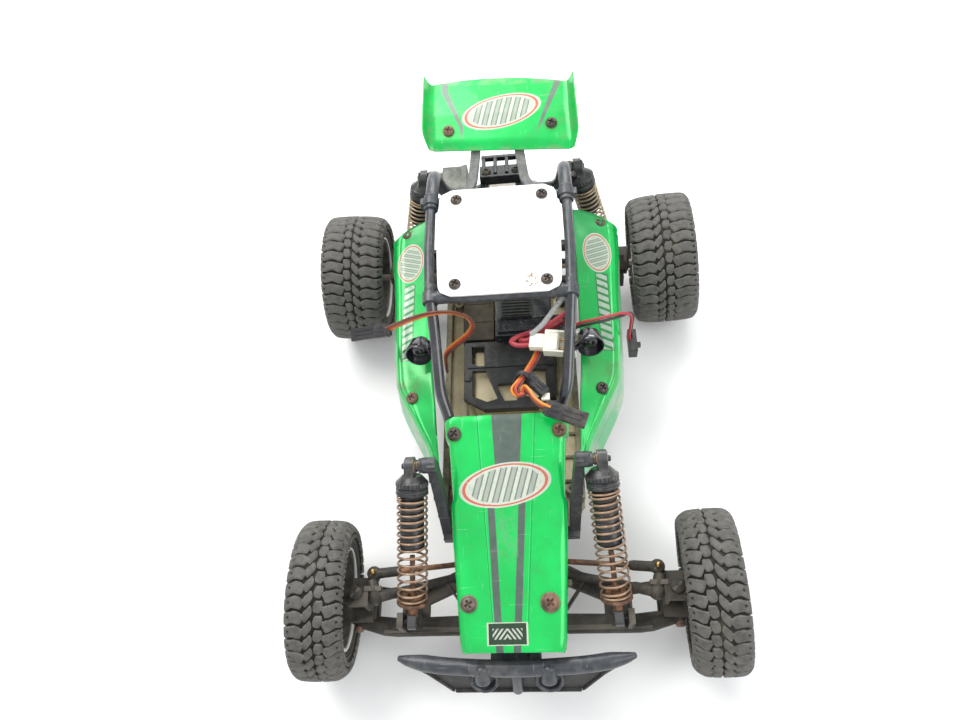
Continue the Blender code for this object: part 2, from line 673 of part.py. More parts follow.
# ---------------------------------------------------------------- links
def camber_link(name, side, inner, outer, radius):
    """Rod with an eye at each end, bored along Y."""
    p, q = Vector(mirror(inner, side)), Vector(mirror(outer, side))
    along = (q - p).normalized()
    link = union(rod(p + along * 2.2, q - along * 2.2, radius, 10),
                 rod_y(p.x, p.y - 2, p.y + 2, p.z, 3.1, 14),
                 rod_y(q.x, q.y - 2, q.y + 2, q.z, 3.2, 14))
    link = cut(link, rod_y(p.x, p.y - 4, p.y + 4, p.z, 1.6, 14),
               rod_y(q.x, q.y - 4, q.y + 4, q.z, 2.0, 14))
    piece(name, link, DUSTY, p)


def tie_rod(label, side):
    """Bored eye at the inner end, cup closed above the ball stud at the outer end."""
    p, q = Vector(mirror(TIE_IN, side)), Vector(mirror(STEER_BALL, side))
    along = (q - p).normalized()
    link = union(rod(p + along * 2.2, q + Vector((0, 0, 0.2)) - along * 1.0, 1.3, 10),
                 rod_y(p.x, p.y - 2, p.y + 2, p.z, 3.0, 14),
                 rod_z(q.x, q.y, 45.4, 49.4, 3.4, 14))
    link = cut(link, rod_y(p.x, p.y - 4, p.y + 4, p.z, 1.6, 14))
    piece("tie_rod_" + label, link, STEEL, p)


# ---------------------------------------------------------------- wheels and tyres
def wheel_centre(axle, side):
    return (side * sum(axle.faces) / 2, axle.y, axle.centre_z)


def on_spin_axis(axle, side, x):
    """Point of the leaning spin axis at distance x from the middle of the car."""
    return (side * x, axle.y, axle.centre_z + (x - sum(axle.faces) / 2) * axle.slope)


def lean(ob, axle, side):
    """Turns a wheel piece built on a level axis onto its leaning axis."""
    centre = wheel_centre(axle, side)
    ob.data.transform(Matrix.Translation(centre)
                      @ Matrix.Rotation(-side * math.atan(axle.slope), 4, "Y")
                      @ Matrix.Translation((-centre[0], -axle.y, -AXLE_Z)))
    return ob


def wheel(name, side, axle, disc, bore, stub=None):
    """disc is the x of the wheel disc; stub is the start x, end x and radius of a stub axle."""
    x0, x1 = axle.faces
    profile = [
        (x0 + 0.6, 22.6), (disc - 3.0, 21.8), (disc - 1.0, 9.0), (disc - 8.5, 6.4),
        (disc - 8.5, bore), (disc + 2.6, bore), (disc + 2.6, 6.6), (disc + 0.8, 9.0),
        (disc - 0.8, 21.6), (disc + 1.0, 22.8), (x1 - 0.6, 23.4), (x1 - 0.6, RIM_R),
        (x1 - 3.0, RIM_R - 0.6), (x0 + 3.0, RIM_R - 0.6), (x0 + 0.6, RIM_R)]
    rim = lathe(profile, (0, axle.y, AXLE_Z), (side, 0, 0), 20)
    if stub:
        start, end, radius = stub
        rim = union(rim, rod_x(side * start, side * end, axle.y, AXLE_Z, radius))
    piece(name, lean(rim, axle, side), RIM_WHITE, wheel_centre(axle, side))


def tyre(name, side, axle):
    x0, x1 = axle.faces
    bead = RIM_R + 0.35
    profile = [
        (x0 + 1.2, bead), (x0, 31.0), (x0 + 0.8, 35.6), (x0 + 3.6, TYRE_R - 0.4),
        (x0 + (x1 - x0) * 0.5, TYRE_R), (x1 - 3.6, TYRE_R - 0.4), (x1 - 0.8, 35.6), (x1, 31.0),
        (x1 - 1.2, bead), (x1 - 4.0, bead), (x1 - 3.2, 33.0), (x0 + 3.2, 33.0), (x0 + 4.0, bead)]
    ring = lathe(profile, (0, axle.y, AXLE_Z), (side, 0, 0), 24)
    piece(name, lean(ring, axle, side), RUBBER, wheel_centre(axle, side))


# ---------------------------------------------------------------- front corner
FRONT_ARM = [               # x, y
    (14, -116.6), (60, -116.6), (75.4, -112.6), (75.4, -107.9), (80, -107.9), (80, -92.9),
    (72, -92.9), (48, -96.0), (22, -81.9), (14, -81.9)]
FRONT_ARM_WINDOWS = (
    [(21, -112.4), (44, -112.4), (44, -102), (21, -92)],
    [(57.5, -111.5), (70, -108.0), (70, -97.5), (57.5, -99)])
STEERING_ARM = [            # x, y
    (79.5, -98.6), (76.6, -101.2), (69.0, -92.2), (68.0, -89.6), (69.6, -87.9), (72.3, -88.6)]


def front_arm(label, side):
    in_x, in_z = mirror(ARM_F_IN, side)
    out_x, out_z = mirror(ARM_F_OUT, side)
    _, pin_y, pin_z = SHOCK_F_LOW
    arm = slab(mirrored(FRONT_ARM, side), 27.8, 32.6)
    arm = cut(arm, *[slab(mirrored(window, side), 26, 34) for window in FRONT_ARM_WINDOWS])
    arm = union(
        arm,
        rod_y(in_x, -116.6, -81.9, in_z, 3.3, 14),                      # hinge barrels
        rod_y(out_x, -107.9, -92.9, out_z, 3.2, 14),
        box_on(side, 54.0, 57.0, -116.4, -109.4, 32.0, 49.0),           # shock lug
        box_on(side, 20, 66, -116.4, -113.8, 26.6, 35.2),               # rib on the front edge
        rod_x(side * 54.5, side * 47.2, pin_y, pin_z, LOW_PIN_R))
    arm = cut(arm, rod_y(in_x, -119, -80, in_z, BORE_R, 14),
              rod_y(out_x, -110, -91, out_z, BORE_R, 14))
    piece("front_arm_" + label, arm, DUSTY, (in_x, FRONT_Y, in_z))


def front_castor_block(label, side):
    out_x, out_z = mirror(ARM_F_OUT, side)
    block = union(
        box_on(side, 76.2, 83.2, -111.4, -108.3, 28.0, 36.8),           # front hinge ear
        box_on(side, 76.2, 83.2, -92.5, -89.4, 28.0, 36.8),             # back hinge ear
        box_on(side, 71.8, 83.2, -111.4, -89.4, 34.7, 36.8),            # lower plate
        box_on(side, 71.8, 74.3, -106.2, -101.6, 36, 50),               # upright
        box_on(side, 71.8, 81.6, -106.2, -96.6, 47.0, 50.0),            # upper plate
        box_on(side, 65.4, 74, -99.1, -96.6, 45.8, 50.4),               # camber link lug
        rod_y(side * CAMBER_F_OUT[0], -98, -104.6, CAMBER_F_OUT[2], STUD_R),
        rod_y(out_x, -113.8, -89.8, out_z, PIN_R),
        rod_y(out_x, -114.4, -111.2, out_z, 2.3),                       # head of the hinge pin
        rod_z(side * KINGPIN_X, FRONT_Y, 36, 50.4, PIN_R))
    piece("front_castor_block_" + label, block, DUSTY, (out_x, FRONT_Y, out_z))


def front_spindle(label, side):
    pin_x = side * KINGPIN_X
    bend = on_spin_axis(FRONT_AXLE, side, 90.6)
    spindle = union(
        rod_z(pin_x, FRONT_Y, 37.1, 46.7, 3.4, 16),
        rod((side * (KINGPIN_X + 2), FRONT_Y, AXLE_Z + 0.6), bend, 2.2),
        rod(on_spin_axis(FRONT_AXLE, side, 89.6), on_spin_axis(FRONT_AXLE, side, 104.5), 2.2),
        rod((side * (KINGPIN_X + 1.5), FRONT_Y, AXLE_Z + 1.6),
            (side * 87, FRONT_Y, AXLE_Z + 0.4), 3.0, 14),
        slab(mirrored(STEERING_ARM, side)[::side], 40.6, 43.6),
        rod_z(side * STEER_BALL[0], STEER_BALL[1], 42, 44.5, 1.4))
    spindle = cut(spindle, rod_z(pin_x, FRONT_Y, 30, 50, BORE_R, 14))
    piece("front_spindle_" + label, spindle, DUSTY, (pin_x, FRONT_Y, AXLE_Z))


def front_corner(label, side):
    front_arm(label, side)
    front_castor_block(label, side)
    front_spindle(label, side)
    camber_link("front_camber_link_" + label, side, CAMBER_F_IN, CAMBER_F_OUT, 1.55)
    tie_rod(label, side)
    wheel("front_wheel_" + label, side, FRONT_AXLE, disc=100.0, bore=2.6)
    tyre("front_tyre_" + label, side, FRONT_AXLE)


# ---------------------------------------------------------------- rear corner
REAR_ARM = [                # x, y
    (17, 91.2), (30, 91.2), (66, 92.9), (66, 107.1), (64.4, 107.4), (62.5, 120.5), (50, 124),
    (17, 127.2)]
REAR_ARM_WINDOW = [(24, 96.5), (46, 97.5), (46, 118), (24, 121.5)]


def rear_arm(label, side):
    in_x, in_z = mirror(ARM_R_IN, side)
    out_x, out_z = mirror(ARM_R_OUT, side)
    _, pin_y, pin_z = SHOCK_R_LOW
    arm = slab(mirrored(REAR_ARM, side)[::side], 27.8, 32.6)
    arm = cut(arm, slab(mirrored(REAR_ARM_WINDOW, side)[::side], 26, 34))
    arm = union(
        arm,
        rod_y(in_x, 91.2, 127.2, in_z, 3.2, 14),                        # hinge barrels
        rod_y(out_x, 92.6, 107.4, out_z, 3.2, 14),
        box_on(side, 51.6, 54.8, 112.3, 119.7, 31.5, 41.4),             # shock lug
        rod_x(side * 53.5, side * 62.6, pin_y, pin_z, LOW_PIN_R))
    arm = cut(arm, rod_y(in_x, 89, 129, in_z, BORE_R, 14),
              rod_y(out_x, 90, 110, out_z, BORE_R, 14))
    piece("rear_arm_" + label, arm, DUSTY, (in_x, REAR_Y, in_z))


def rear_hub_carrier(label, side):
    out_x, out_z = mirror(ARM_R_OUT, side)
    hub = union(
        box_on(side, 66.0, 73.6, 93.5, 106.5, 34.8, 46.0),
        box_on(side, 65, 71.2, 88.9, 92.2, 28, 38),                     # hinge ears
        box_on(side, 65, 71.2, 107.8, 111.1, 28, 38),
        box_on(side, 66, 71.2, 88.9, 111.1, 34.8, 38),                  # bar joining the ears
        box_on(side, 61.2, 70.5, 92.4, 95.0, 44, 55.6),                 # camber link lug
        rod_y(side * CAMBER_R_OUT[0], 93.5, 87.6, CAMBER_R_OUT[2], STUD_R),
        rod_y(out_x, 88.0, 112.0, out_z, PIN_R))
    axle_bore = rod(on_spin_axis(REAR_AXLE, side, 60), on_spin_axis(REAR_AXLE, side, 78), 2.3, 14)
    piece("rear_hub_carrier_" + label, cut(hub, axle_bore), DUSTY, (out_x, REAR_Y, out_z))


def driveshaft(label, side):
    inner, outer = mirror(SHAFT_R_IN, side), mirror(SHAFT_R_OUT, side)
    shaft = union(
        rod(inner, outer, 1.7),
        rod_x(side * 14.8, side * 21, REAR_Y, AXLE_Z, 3.4, 14),         # inner joint
        rod_x(side * 56, side * 61, REAR_Y, AXLE_Z, 2.6, 14, 3.6),      # outer joint
        rod_x(side * 60.5, outer[0], REAR_Y, AXLE_Z, 3.6, 14))
    piece("driveshaft_" + label, shaft, STEEL, inner)


def rear_corner(label, side):
    rear_arm(label, side)
    rear_hub_carrier(label, side)
    camber_link("rear_camber_link_" + label, side, CAMBER_R_IN, CAMBER_R_OUT, 1.4)
    driveshaft(label, side)
    wheel("rear_wheel_" + label, side, REAR_AXLE, disc=103.0, bore=1.5, stub=(66.6, 97.0, 1.9))
    tyre("rear_tyre_" + label, side, REAR_AXLE)


# ---------------------------------------------------------------- build
ROOT = bpy.data.objects.new("buggy_origin", None)
bpy.context.collection.objects.link(ROOT)
ROOT.location = (0.0, SHIFT_Y * MM, 0.0)

chassis_tub()
front_shock_tower()
front_bumper()
nose_panel()
for name_end, hand in SIDES:
    side_panel(name_end, hand)
roof_panel()
rear_wing()
roll_cage()
battery_hold_down()
speed_control()
steering_servo()
transmission_case()
motor()
spur_gear()
pinion_gear()
gear_cover()
rear_shock_tower()
switch()
servo_horn()
steering_link()
for name_end, hand in SIDES:
    shocks(name_end, hand)
for name_end, hand in SIDES:
    front_corner(name_end, hand)
    rear_corner(name_end, hand)
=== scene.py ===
# An off-road model buggy: green sheet panels and a white roof on a tubular cage, over a dusty
# tub with four sprung wheels. It faces -Y, its left side is +X, and the wheels stand near z = 0.
# Lengths are fit millimetres; the world is (x, y + Y_SHIFT, z) in metres.
import bpy
import bmesh
import json
import math
import numpy as np
from functools import cached_property, partial
from types import SimpleNamespace
from mathutils import Vector, Matrix

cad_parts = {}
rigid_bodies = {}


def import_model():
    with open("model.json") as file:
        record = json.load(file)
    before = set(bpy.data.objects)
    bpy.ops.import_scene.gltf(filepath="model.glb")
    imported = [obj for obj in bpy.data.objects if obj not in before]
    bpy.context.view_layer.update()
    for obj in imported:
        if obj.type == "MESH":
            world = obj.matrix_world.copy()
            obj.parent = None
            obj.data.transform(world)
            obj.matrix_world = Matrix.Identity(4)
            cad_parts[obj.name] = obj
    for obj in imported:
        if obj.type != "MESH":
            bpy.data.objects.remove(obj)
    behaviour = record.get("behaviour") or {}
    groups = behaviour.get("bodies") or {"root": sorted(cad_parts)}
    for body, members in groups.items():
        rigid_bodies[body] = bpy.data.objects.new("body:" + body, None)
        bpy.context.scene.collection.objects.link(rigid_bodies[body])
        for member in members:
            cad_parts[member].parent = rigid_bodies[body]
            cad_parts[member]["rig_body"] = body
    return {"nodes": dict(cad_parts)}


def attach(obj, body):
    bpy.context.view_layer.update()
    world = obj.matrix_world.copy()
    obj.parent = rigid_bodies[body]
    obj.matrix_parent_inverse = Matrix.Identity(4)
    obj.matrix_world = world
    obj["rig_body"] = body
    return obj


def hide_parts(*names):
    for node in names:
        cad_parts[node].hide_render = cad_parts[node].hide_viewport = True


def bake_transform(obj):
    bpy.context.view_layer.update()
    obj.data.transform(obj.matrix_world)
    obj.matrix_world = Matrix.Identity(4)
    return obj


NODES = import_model()["nodes"]
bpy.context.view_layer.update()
COLLECTION = bpy.context.scene.collection

Y_SHIFT = -14.75
MM = 0.001
SIDES = (("left", 1), ("right", -1))
TYRE_R = 39.0
AXLE_Z = 39.0
AXLE_Y = {"front": -100.0, "rear": 100.0}
SHOCK_TOP = {"front": (44.1, -50.8, 92.0), "rear": (44.5, 129.0, 95.0)}
SHOCK_LOW = {"front": (49.6, -112.9, 45.9), "rear": (60.0, 116.0, 38.0)}
ROOF_SLOPE = 0.085
CREASE_X = 14.6                       # nose creases at the rear edge, either side of the middle
CREASE_CLOSING = {"right": 5.4, "left": 7.2}    # how far each has moved in near the front
GEAR_Y, GEAR_Z = 122, 54
MOTOR_Y = GEAR_Y + 19.354


# ================================================================= shader helpers
def math_method(operation, swapped=False):
    """A method that adds a Math node; swapped puts the other operand first."""
    def method(self, other=0.0):
        operands = (other, self) if swapped else (self, other)
        return self.mat.math(operation, *operands)
    return method


class Value:
    """A shader output whose arithmetic adds Math nodes to its material."""
    __add__ = math_method("ADD")
    __radd__ = math_method("ADD", swapped=True)
    __sub__ = math_method("SUBTRACT")
    __rsub__ = math_method("SUBTRACT", swapped=True)
    __mul__ = math_method("MULTIPLY")
    __pow__ = math_method("POWER")
    __abs__ = math_method("ABSOLUTE")
    max = math_method("MAXIMUM")
    min = math_method("MINIMUM")
    sqrt = math_method("SQRT")
    pingpong = math_method("PINGPONG")

    def __init__(self, mat, socket):
        self.mat = mat
        self.socket = socket

    def step(self, start, end):
        """0 at start, 1 at end, smooth between (start may exceed end)."""
        return self.mat.map_range(self, start, end, 0.0, 1.0, "SMOOTHSTEP")

    def ramp(self, start, end, low, high):
        """Runs straight from low at start to high at end."""
        return self.mat.map_range(self, start, end, low, high, "LINEAR")

    def band(self, start, end, soft):
        """1 between start and end."""
        return self.step(start - soft, start + soft) * self.step(end + soft, end - soft)


MATERIALS = {}
# first, second and result sockets of the Mix node
MIX_SOCKETS = {"RGBA": (6, 7, 2), "FLOAT": (2, 3, 0)}


class Shader:
    """A material under construction; textures read fit millimetres."""

    def __init__(self, name):
        self.name = name
        self.material = bpy.data.materials.new(name)
        self.material.use_nodes = True
        self.tree = self.material.node_tree
        self.tree.nodes.clear()
        output = self.node("ShaderNodeOutputMaterial")
        self.surface = self.node("ShaderNodeBsdfPrincipled")
        self.tree.links.new(self.surface.outputs[0], output.inputs[0])
        coords = self.node("ShaderNodeTexCoord")
        mapping = self.node("ShaderNodeMapping")
        mapping.inputs["Scale"].default_value = (1000, 1000, 1000)
        mapping.inputs["Location"].default_value = (0, -Y_SHIFT, 0)
        self.tree.links.new(coords.outputs["Object"], mapping.inputs["Vector"])
        self.position = mapping.outputs[0]

    def node(self, kind, **settings):
        node = self.tree.nodes.new(kind)
        for key, value in settings.items():
            setattr(node, key, value)
        return node

    def put(self, socket, value):
        """Link a Value, or set a number or a colour."""
        if isinstance(value, Value):
            self.tree.links.new(value.socket, socket)
        elif isinstance(value, tuple):
            socket.default_value = (*value, 1.0)
        else:
            socket.default_value = value

    def split(self, socket):
        node = self.node("ShaderNodeSeparateXYZ")
        self.tree.links.new(socket, node.inputs[0])
        return [Value(self, part) for part in node.outputs]

    def axes(self):
        return self.split(self.position)

    @cached_property
    def geometry(self):
        return self.node("ShaderNodeNewGeometry")

    def normal_z(self):
        return self.split(self.geometry.outputs["Normal"])[2]

    def pointiness(self):
        return Value(self, self.geometry.outputs["Pointiness"])

    def attribute(self, name):
        node = self.node("ShaderNodeAttribute", attribute_name=name)
        return Value(self, node.outputs["Fac"])

    def math(self, operation, first, second):
        node = self.node("ShaderNodeMath", operation=operation)
        for socket, value in zip(node.inputs, (first, second, 0.0)):
            self.put(socket, value)
        return Value(self, node.outputs[0])

    def map_range(self, value, start, end, low, high, interpolation):
        node = self.node("ShaderNodeMapRange", interpolation_type=interpolation)
        self.put(node.inputs["Value"], value)
        node.inputs["From Min"].default_value = start
        node.inputs["From Max"].default_value = end
        node.inputs["To Min"].default_value = low
        node.inputs["To Max"].default_value = high
        return Value(self, node.outputs[0])

    def noise(self, scale, detail, rough, seed=0.0, stretch=None):
        """Noise; stretch is (scale, rotation) applied to the position."""
        node = self.node("ShaderNodeTexNoise", noise_dimensions="4D")
        node.inputs["W"].default_value = seed
        node.inputs["Scale"].default_value = scale
        node.inputs["Detail"].default_value = detail
        node.inputs["Roughness"].default_value = rough
        vector = self.position
        if stretch:
            mapping = self.node("ShaderNodeMapping")
            mapping.inputs["Scale"].default_value = stretch[0]
            mapping.inputs["Rotation"].default_value = stretch[1]
            self.tree.links.new(vector, mapping.inputs["Vector"])
            vector = mapping.outputs[0]
        self.tree.links.new(vector, node.inputs["Vector"])
        return Value(self, node.outputs[0])

    def mix(self, factor, first, second, kind="RGBA"):
        node = self.node("ShaderNodeMix", data_type=kind, clamp_factor=True)
        first_socket, second_socket, result = MIX_SOCKETS[kind]
        self.put(node.inputs[0], factor)
        self.put(node.inputs[first_socket], first)
        self.put(node.inputs[second_socket], second)
        return Value(self, node.outputs[result])

    def mix_value(self, factor, first, second):
        return self.mix(factor, first, second, "FLOAT")

    def bump(self, height, strength, distance):
        node = self.node("ShaderNodeBump")
        node.inputs["Strength"].default_value = strength
        node.inputs["Distance"].default_value = distance
        self.put(node.inputs["Height"], height)
        self.tree.links.new(node.outputs[0], self.surface.inputs["Normal"])

    def done(self, color, rough, metal=0.0, coat=0.0, coat_rough=0.1, specular=0.5):
        for socket, value in (
                ("Base Color", color), ("Roughness", rough), ("Metallic", metal),
                ("Coat Weight", coat), ("Coat Roughness", coat_rough),
                ("Specular IOR Level", specular)):
            self.put(self.surface.inputs[socket], value)
        MATERIALS[self.name] = self.material


def distance(u, v):
    return (u ** 2.0 + v ** 2.0).sqrt()


def box_distance(u, v, half_u, half_v):
    """Below 1 inside a rectangle about the origin."""
    return (abs(u) * (1 / half_u)).max(abs(v) * (1 / half_v))


# ================================================================= worn plain finishes
DUST = (0.30, 0.255, 0.19)
SOIL = (0.115, 0.078, 0.045)
RUST_DARK, RUST_LIGHT = (0.19, 0.065, 0.025), (0.40, 0.19, 0.09)


def worn(name, first, second, rough=(0.35, 0.6), metal=0.0, dust=0.5, dust_color=DUST,
         upward=0.5, specks=0.3, scratches=0.3, coat=0.0, rust=0.0, bump=0.25, seed=0.0,
         edge=0.0, edge_color=(0.35, 0.34, 0.32)):
    """Two-tone base with scratches, rubbed edges, rust, dust (more on faces that look up by
    the share upward) and soil specks."""
    mat = Shader(name)
    broad = mat.noise(scale=0.045, detail=3, rough=0.55, seed=seed)
    medium = mat.noise(scale=0.22, detail=5, rough=0.65, seed=seed + 3)
    fine = mat.noise(scale=2.2, detail=6, rough=0.7, seed=seed + 7)
    color = mat.mix(medium.step(0.35, 0.65), first, second)

    long_a = mat.noise(scale=0.9, detail=2, rough=0.5, seed=seed + 1,
                       stretch=((0.05, 1.3, 0.9), (0.2, 0.1, 0.6)))
    long_b = mat.noise(scale=0.9, detail=2, rough=0.5, seed=seed + 2,
                       stretch=((1.4, 0.06, 0.8), (0.1, 0.3, 0.25)))
    scratch = long_a.step(0.665, 0.70).max(long_b.step(0.67, 0.71)) * scratches
    scratch_color = tuple(min(1, channel * 2.6 + 0.05) for channel in second)
    color = mat.mix(scratch, color, scratch_color)
    if edge:
        color = mat.mix(mat.pointiness().step(0.53, 0.60) * edge, color, edge_color)
    if rust:
        rusted = (medium * 0.7 + fine * 0.3).step(0.44, 0.60) * rust
        color = mat.mix(rusted, color, mat.mix(fine, RUST_DARK, RUST_LIGHT))

    facing_up = mat.normal_z().ramp(-0.1, 1.0, 0.15, 1.0)
    drift = broad * 0.55 + (medium * 0.45 + fine * 0.25)
    drift = drift.step(0.62 - 0.30 * dust, 0.95 - 0.18 * dust)
    drift = drift * mat.mix_value(upward, 1.0, facing_up)
    drift = drift * min(1.0, 0.35 + dust)
    color = mat.mix(drift, color, dust_color)
    soil = mat.noise(scale=1.15, detail=3, rough=0.6, seed=seed + 11).step(0.655, 0.70) * specks
    color = mat.mix(soil, color, SOIL)

    roughness = mat.mix_value(medium + (fine - 0.5) * 0.15, *rough)
    roughness = roughness.max(drift.max(soil) * 0.92)
    metallic = (1.0 - drift.max(soil)) * metal
    if rust:
        metallic = metallic * (1.0 - rusted)
        roughness = roughness.max(rusted * 0.85)
    mat.bump(fine * 0.5 + (drift * 0.4 + scratch * -0.6), strength=bump, distance=0.00018)
    mat.done(color, roughness, metallic, coat=(1.0 - drift) * coat, coat_rough=0.12)


# mouldings and dark parts
worn("nylon", (0.020, 0.022, 0.026), (0.036, 0.039, 0.044), rough=(0.30, 0.5), dust=0.14,
     upward=0.7, specks=0.35, scratches=0.45, seed=1, dust_color=(0.24, 0.22, 0.18),
     edge=0.25, edge_color=(0.22, 0.22, 0.22))
worn("cage", (0.030, 0.034, 0.040), (0.052, 0.057, 0.066), rough=(0.24, 0.42), dust=0.14,
     upward=0.6, specks=0.35, scratches=0.5, seed=2, dust_color=(0.26, 0.25, 0.22))
worn("cage_gloss", (0.007, 0.008, 0.012), (0.014, 0.016, 0.022), rough=(0.10, 0.22), dust=0.02,
     upward=0.6, specks=0.15, scratches=0.35, seed=2.5, dust_color=(0.2, 0.2, 0.18), coat=0.9)
worn("strut", (0.095, 0.102, 0.10), (0.15, 0.158, 0.152), rough=(0.5, 0.75), dust=0.3,
     upward=0.7, specks=0.5, scratches=0.5, seed=3, dust_color=(0.26, 0.25, 0.21))
worn("black", (0.011, 0.0115, 0.013), (0.022, 0.023, 0.026), rough=(0.26, 0.48), dust=0.08,
     upward=0.8, specks=0.25, scratches=0.35, seed=4, dust_color=(0.2, 0.17, 0.12))
worn("shockblack", (0.011, 0.012, 0.015), (0.023, 0.025, 0.029), rough=(0.22, 0.40), dust=0.09,
     upward=0.9, specks=0.5, seed=5, dust_color=(0.27, 0.22, 0.15), edge=0.35)
worn("arm", (0.020, 0.0175, 0.0145), (0.040, 0.035, 0.028), rough=(0.55, 0.8), dust=0.20,
     upward=0.45, specks=1.0, seed=6, dust_color=(0.155, 0.128, 0.090), bump=0.6,
     edge=0.35, edge_color=(0.24, 0.215, 0.17))
worn("link", (0.026, 0.024, 0.021), (0.052, 0.048, 0.041), rough=(0.5, 0.78), dust=0.26,
     upward=0.55, specks=0.9, scratches=0.4, seed=7, dust_color=(0.20, 0.175, 0.130),
     bump=0.5, edge=0.3)
worn("tub", (0.085, 0.074, 0.055), (0.17, 0.148, 0.108), rough=(0.7, 0.92), dust=0.75,
     specks=1.0, scratches=0.1, seed=8, dust_color=(0.47, 0.41, 0.285), bump=0.5)
worn("tray", (0.022, 0.018, 0.013), (0.045, 0.036, 0.025), rough=(0.5, 0.9), dust=0.35,
     upward=0.3, specks=1.0, scratches=0.1, seed=9, dust_color=(0.15, 0.115, 0.07), bump=0.5)
# painted light: the sand is brightened well above its own beige so that it stays pale where the
# cage and tray shade it
worn("sand_brightened", (0.86, 0.74, 0.47), (0.66, 0.56, 0.34), rough=(0.75, 0.95), dust=0.6, upward=0.1,
     specks=1.0, scratches=0.2, seed=10, dust_color=(0.86, 0.76, 0.53), bump=0.6)
worn("gear", (0.028, 0.028, 0.028), (0.045, 0.043, 0.04), rough=(0.45, 0.7), dust=0.35,
     specks=0.6, seed=16)
worn("cover", (0.085, 0.088, 0.084), (0.125, 0.128, 0.120), rough=(0.55, 0.8), specks=0.6,
     scratches=0.4, seed=17, dust_color=(0.36, 0.35, 0.31), bump=0.4)
worn("plate", (0.012, 0.012, 0.012), (0.028, 0.027, 0.026), rough=(0.4, 0.65), dust=0.2,
     upward=0.8, specks=0.7, scratches=0.7, seed=33, dust_color=(0.16, 0.14, 0.11))
worn("lamp", (0.004, 0.004, 0.006), (0.009, 0.009, 0.012), rough=(0.08, 0.2), dust=0.03,
     specks=0.1, scratches=0.15, seed=28, coat=0.8)
worn("pcb", (0.020, 0.023, 0.021), (0.034, 0.038, 0.034), rough=(0.35, 0.55), dust=0.14,
     specks=0.5, seed=29, dust_color=(0.24, 0.23, 0.18))
# metals
worn("steel", (0.42, 0.40, 0.37), (0.55, 0.52, 0.48), rough=(0.25, 0.5), metal=0.9, dust=0.25,
     specks=0.5, rust=0.55, seed=11)
worn("rusty", (0.095, 0.055, 0.038), (0.16, 0.095, 0.062), rough=(0.5, 0.85), metal=0.5,
     dust=0.25, specks=0.6, rust=0.9, seed=12, bump=0.5)
worn("screw", (0.035, 0.032, 0.029), (0.080, 0.070, 0.062), rough=(0.32, 0.6), metal=0.5,
     dust=0.16, specks=0.4, rust=0.14, seed=13, bump=0.35, edge=0.5, edge_color=(0.4, 0.36, 0.3))
worn("screw_rust", (0.095, 0.060, 0.045), (0.19, 0.125, 0.095), rough=(0.45, 0.8), metal=0.4,
     dust=0.22, specks=0.5, rust=0.45, seed=14, bump=0.5)
worn("brass", (0.62, 0.40, 0.15), (0.46, 0.27, 0.09), rough=(0.22, 0.45), metal=1.0, dust=0.15,
     seed=15)
worn("spring", (0.30, 0.195, 0.130), (0.42, 0.285, 0.195), rough=(0.30, 0.5), metal=0.75,
     dust=0.2, specks=0.4, rust=0.35, upward=0.3, seed=26, dust_color=(0.50, 0.41, 0.30))
worn("spring_r", (0.42, 0.34, 0.23), (0.34, 0.27, 0.17), rough=(0.25, 0.45), metal=0.85,
     dust=0.12, specks=0.4, rust=0.15, upward=0.3, seed=27, dust_color=(0.5, 0.45, 0.33))
worn("copper_shaft", (0.38, 0.26, 0.18), (0.50, 0.37, 0.27), rough=(0.3, 0.55), metal=0.6,
     dust=0.35, specks=0.5, rust=0.3, seed=30, dust_color=(0.42, 0.34, 0.25))
worn("motorcan", (0.30, 0.29, 0.27), (0.40, 0.385, 0.36), rough=(0.35, 0.55), metal=0.85,
     dust=0.4, specks=0.7, rust=0.3, seed=31)
# pale mouldings and wire insulation
worn("white", (0.80, 0.79, 0.76), (0.88, 0.875, 0.86), rough=(0.30, 0.5), dust=0.03,
     specks=0.12, scratches=0.12, seed=19, dust_color=(0.6, 0.55, 0.45))
worn("cream", (0.80, 0.79, 0.64), (0.86, 0.85, 0.74), rough=(0.35, 0.5), dust=0.06,
     specks=0.25, scratches=0.1, seed=20)
worn("wire_red", (0.46, 0.028, 0.045), (0.36, 0.02, 0.035), rough=(0.3, 0.5), dust=0.14,
     scratches=0.1, seed=21, dust_color=(0.5, 0.32, 0.27))
worn("wire_black", (0.014, 0.014, 0.016), (0.028, 0.028, 0.03), rough=(0.3, 0.5), dust=0.12,
     specks=0.2, scratches=0.1, seed=22)
worn("wire_orange", (0.72, 0.25, 0.025), (0.60, 0.19, 0.02), rough=(0.35, 0.55), dust=0.15,
     specks=0.35, scratches=0.1, seed=23, dust_color=(0.62, 0.42, 0.22))
worn("wire_brown", (0.10, 0.032, 0.018), (0.15, 0.05, 0.028), rough=(0.35, 0.55), dust=0.15,
     scratches=0.1, seed=24)
worn("wire_redlead", (0.50, 0.06, 0.03), (0.40, 0.045, 0.025), rough=(0.35, 0.55), dust=0.12,
     scratches=0.1, seed=25)


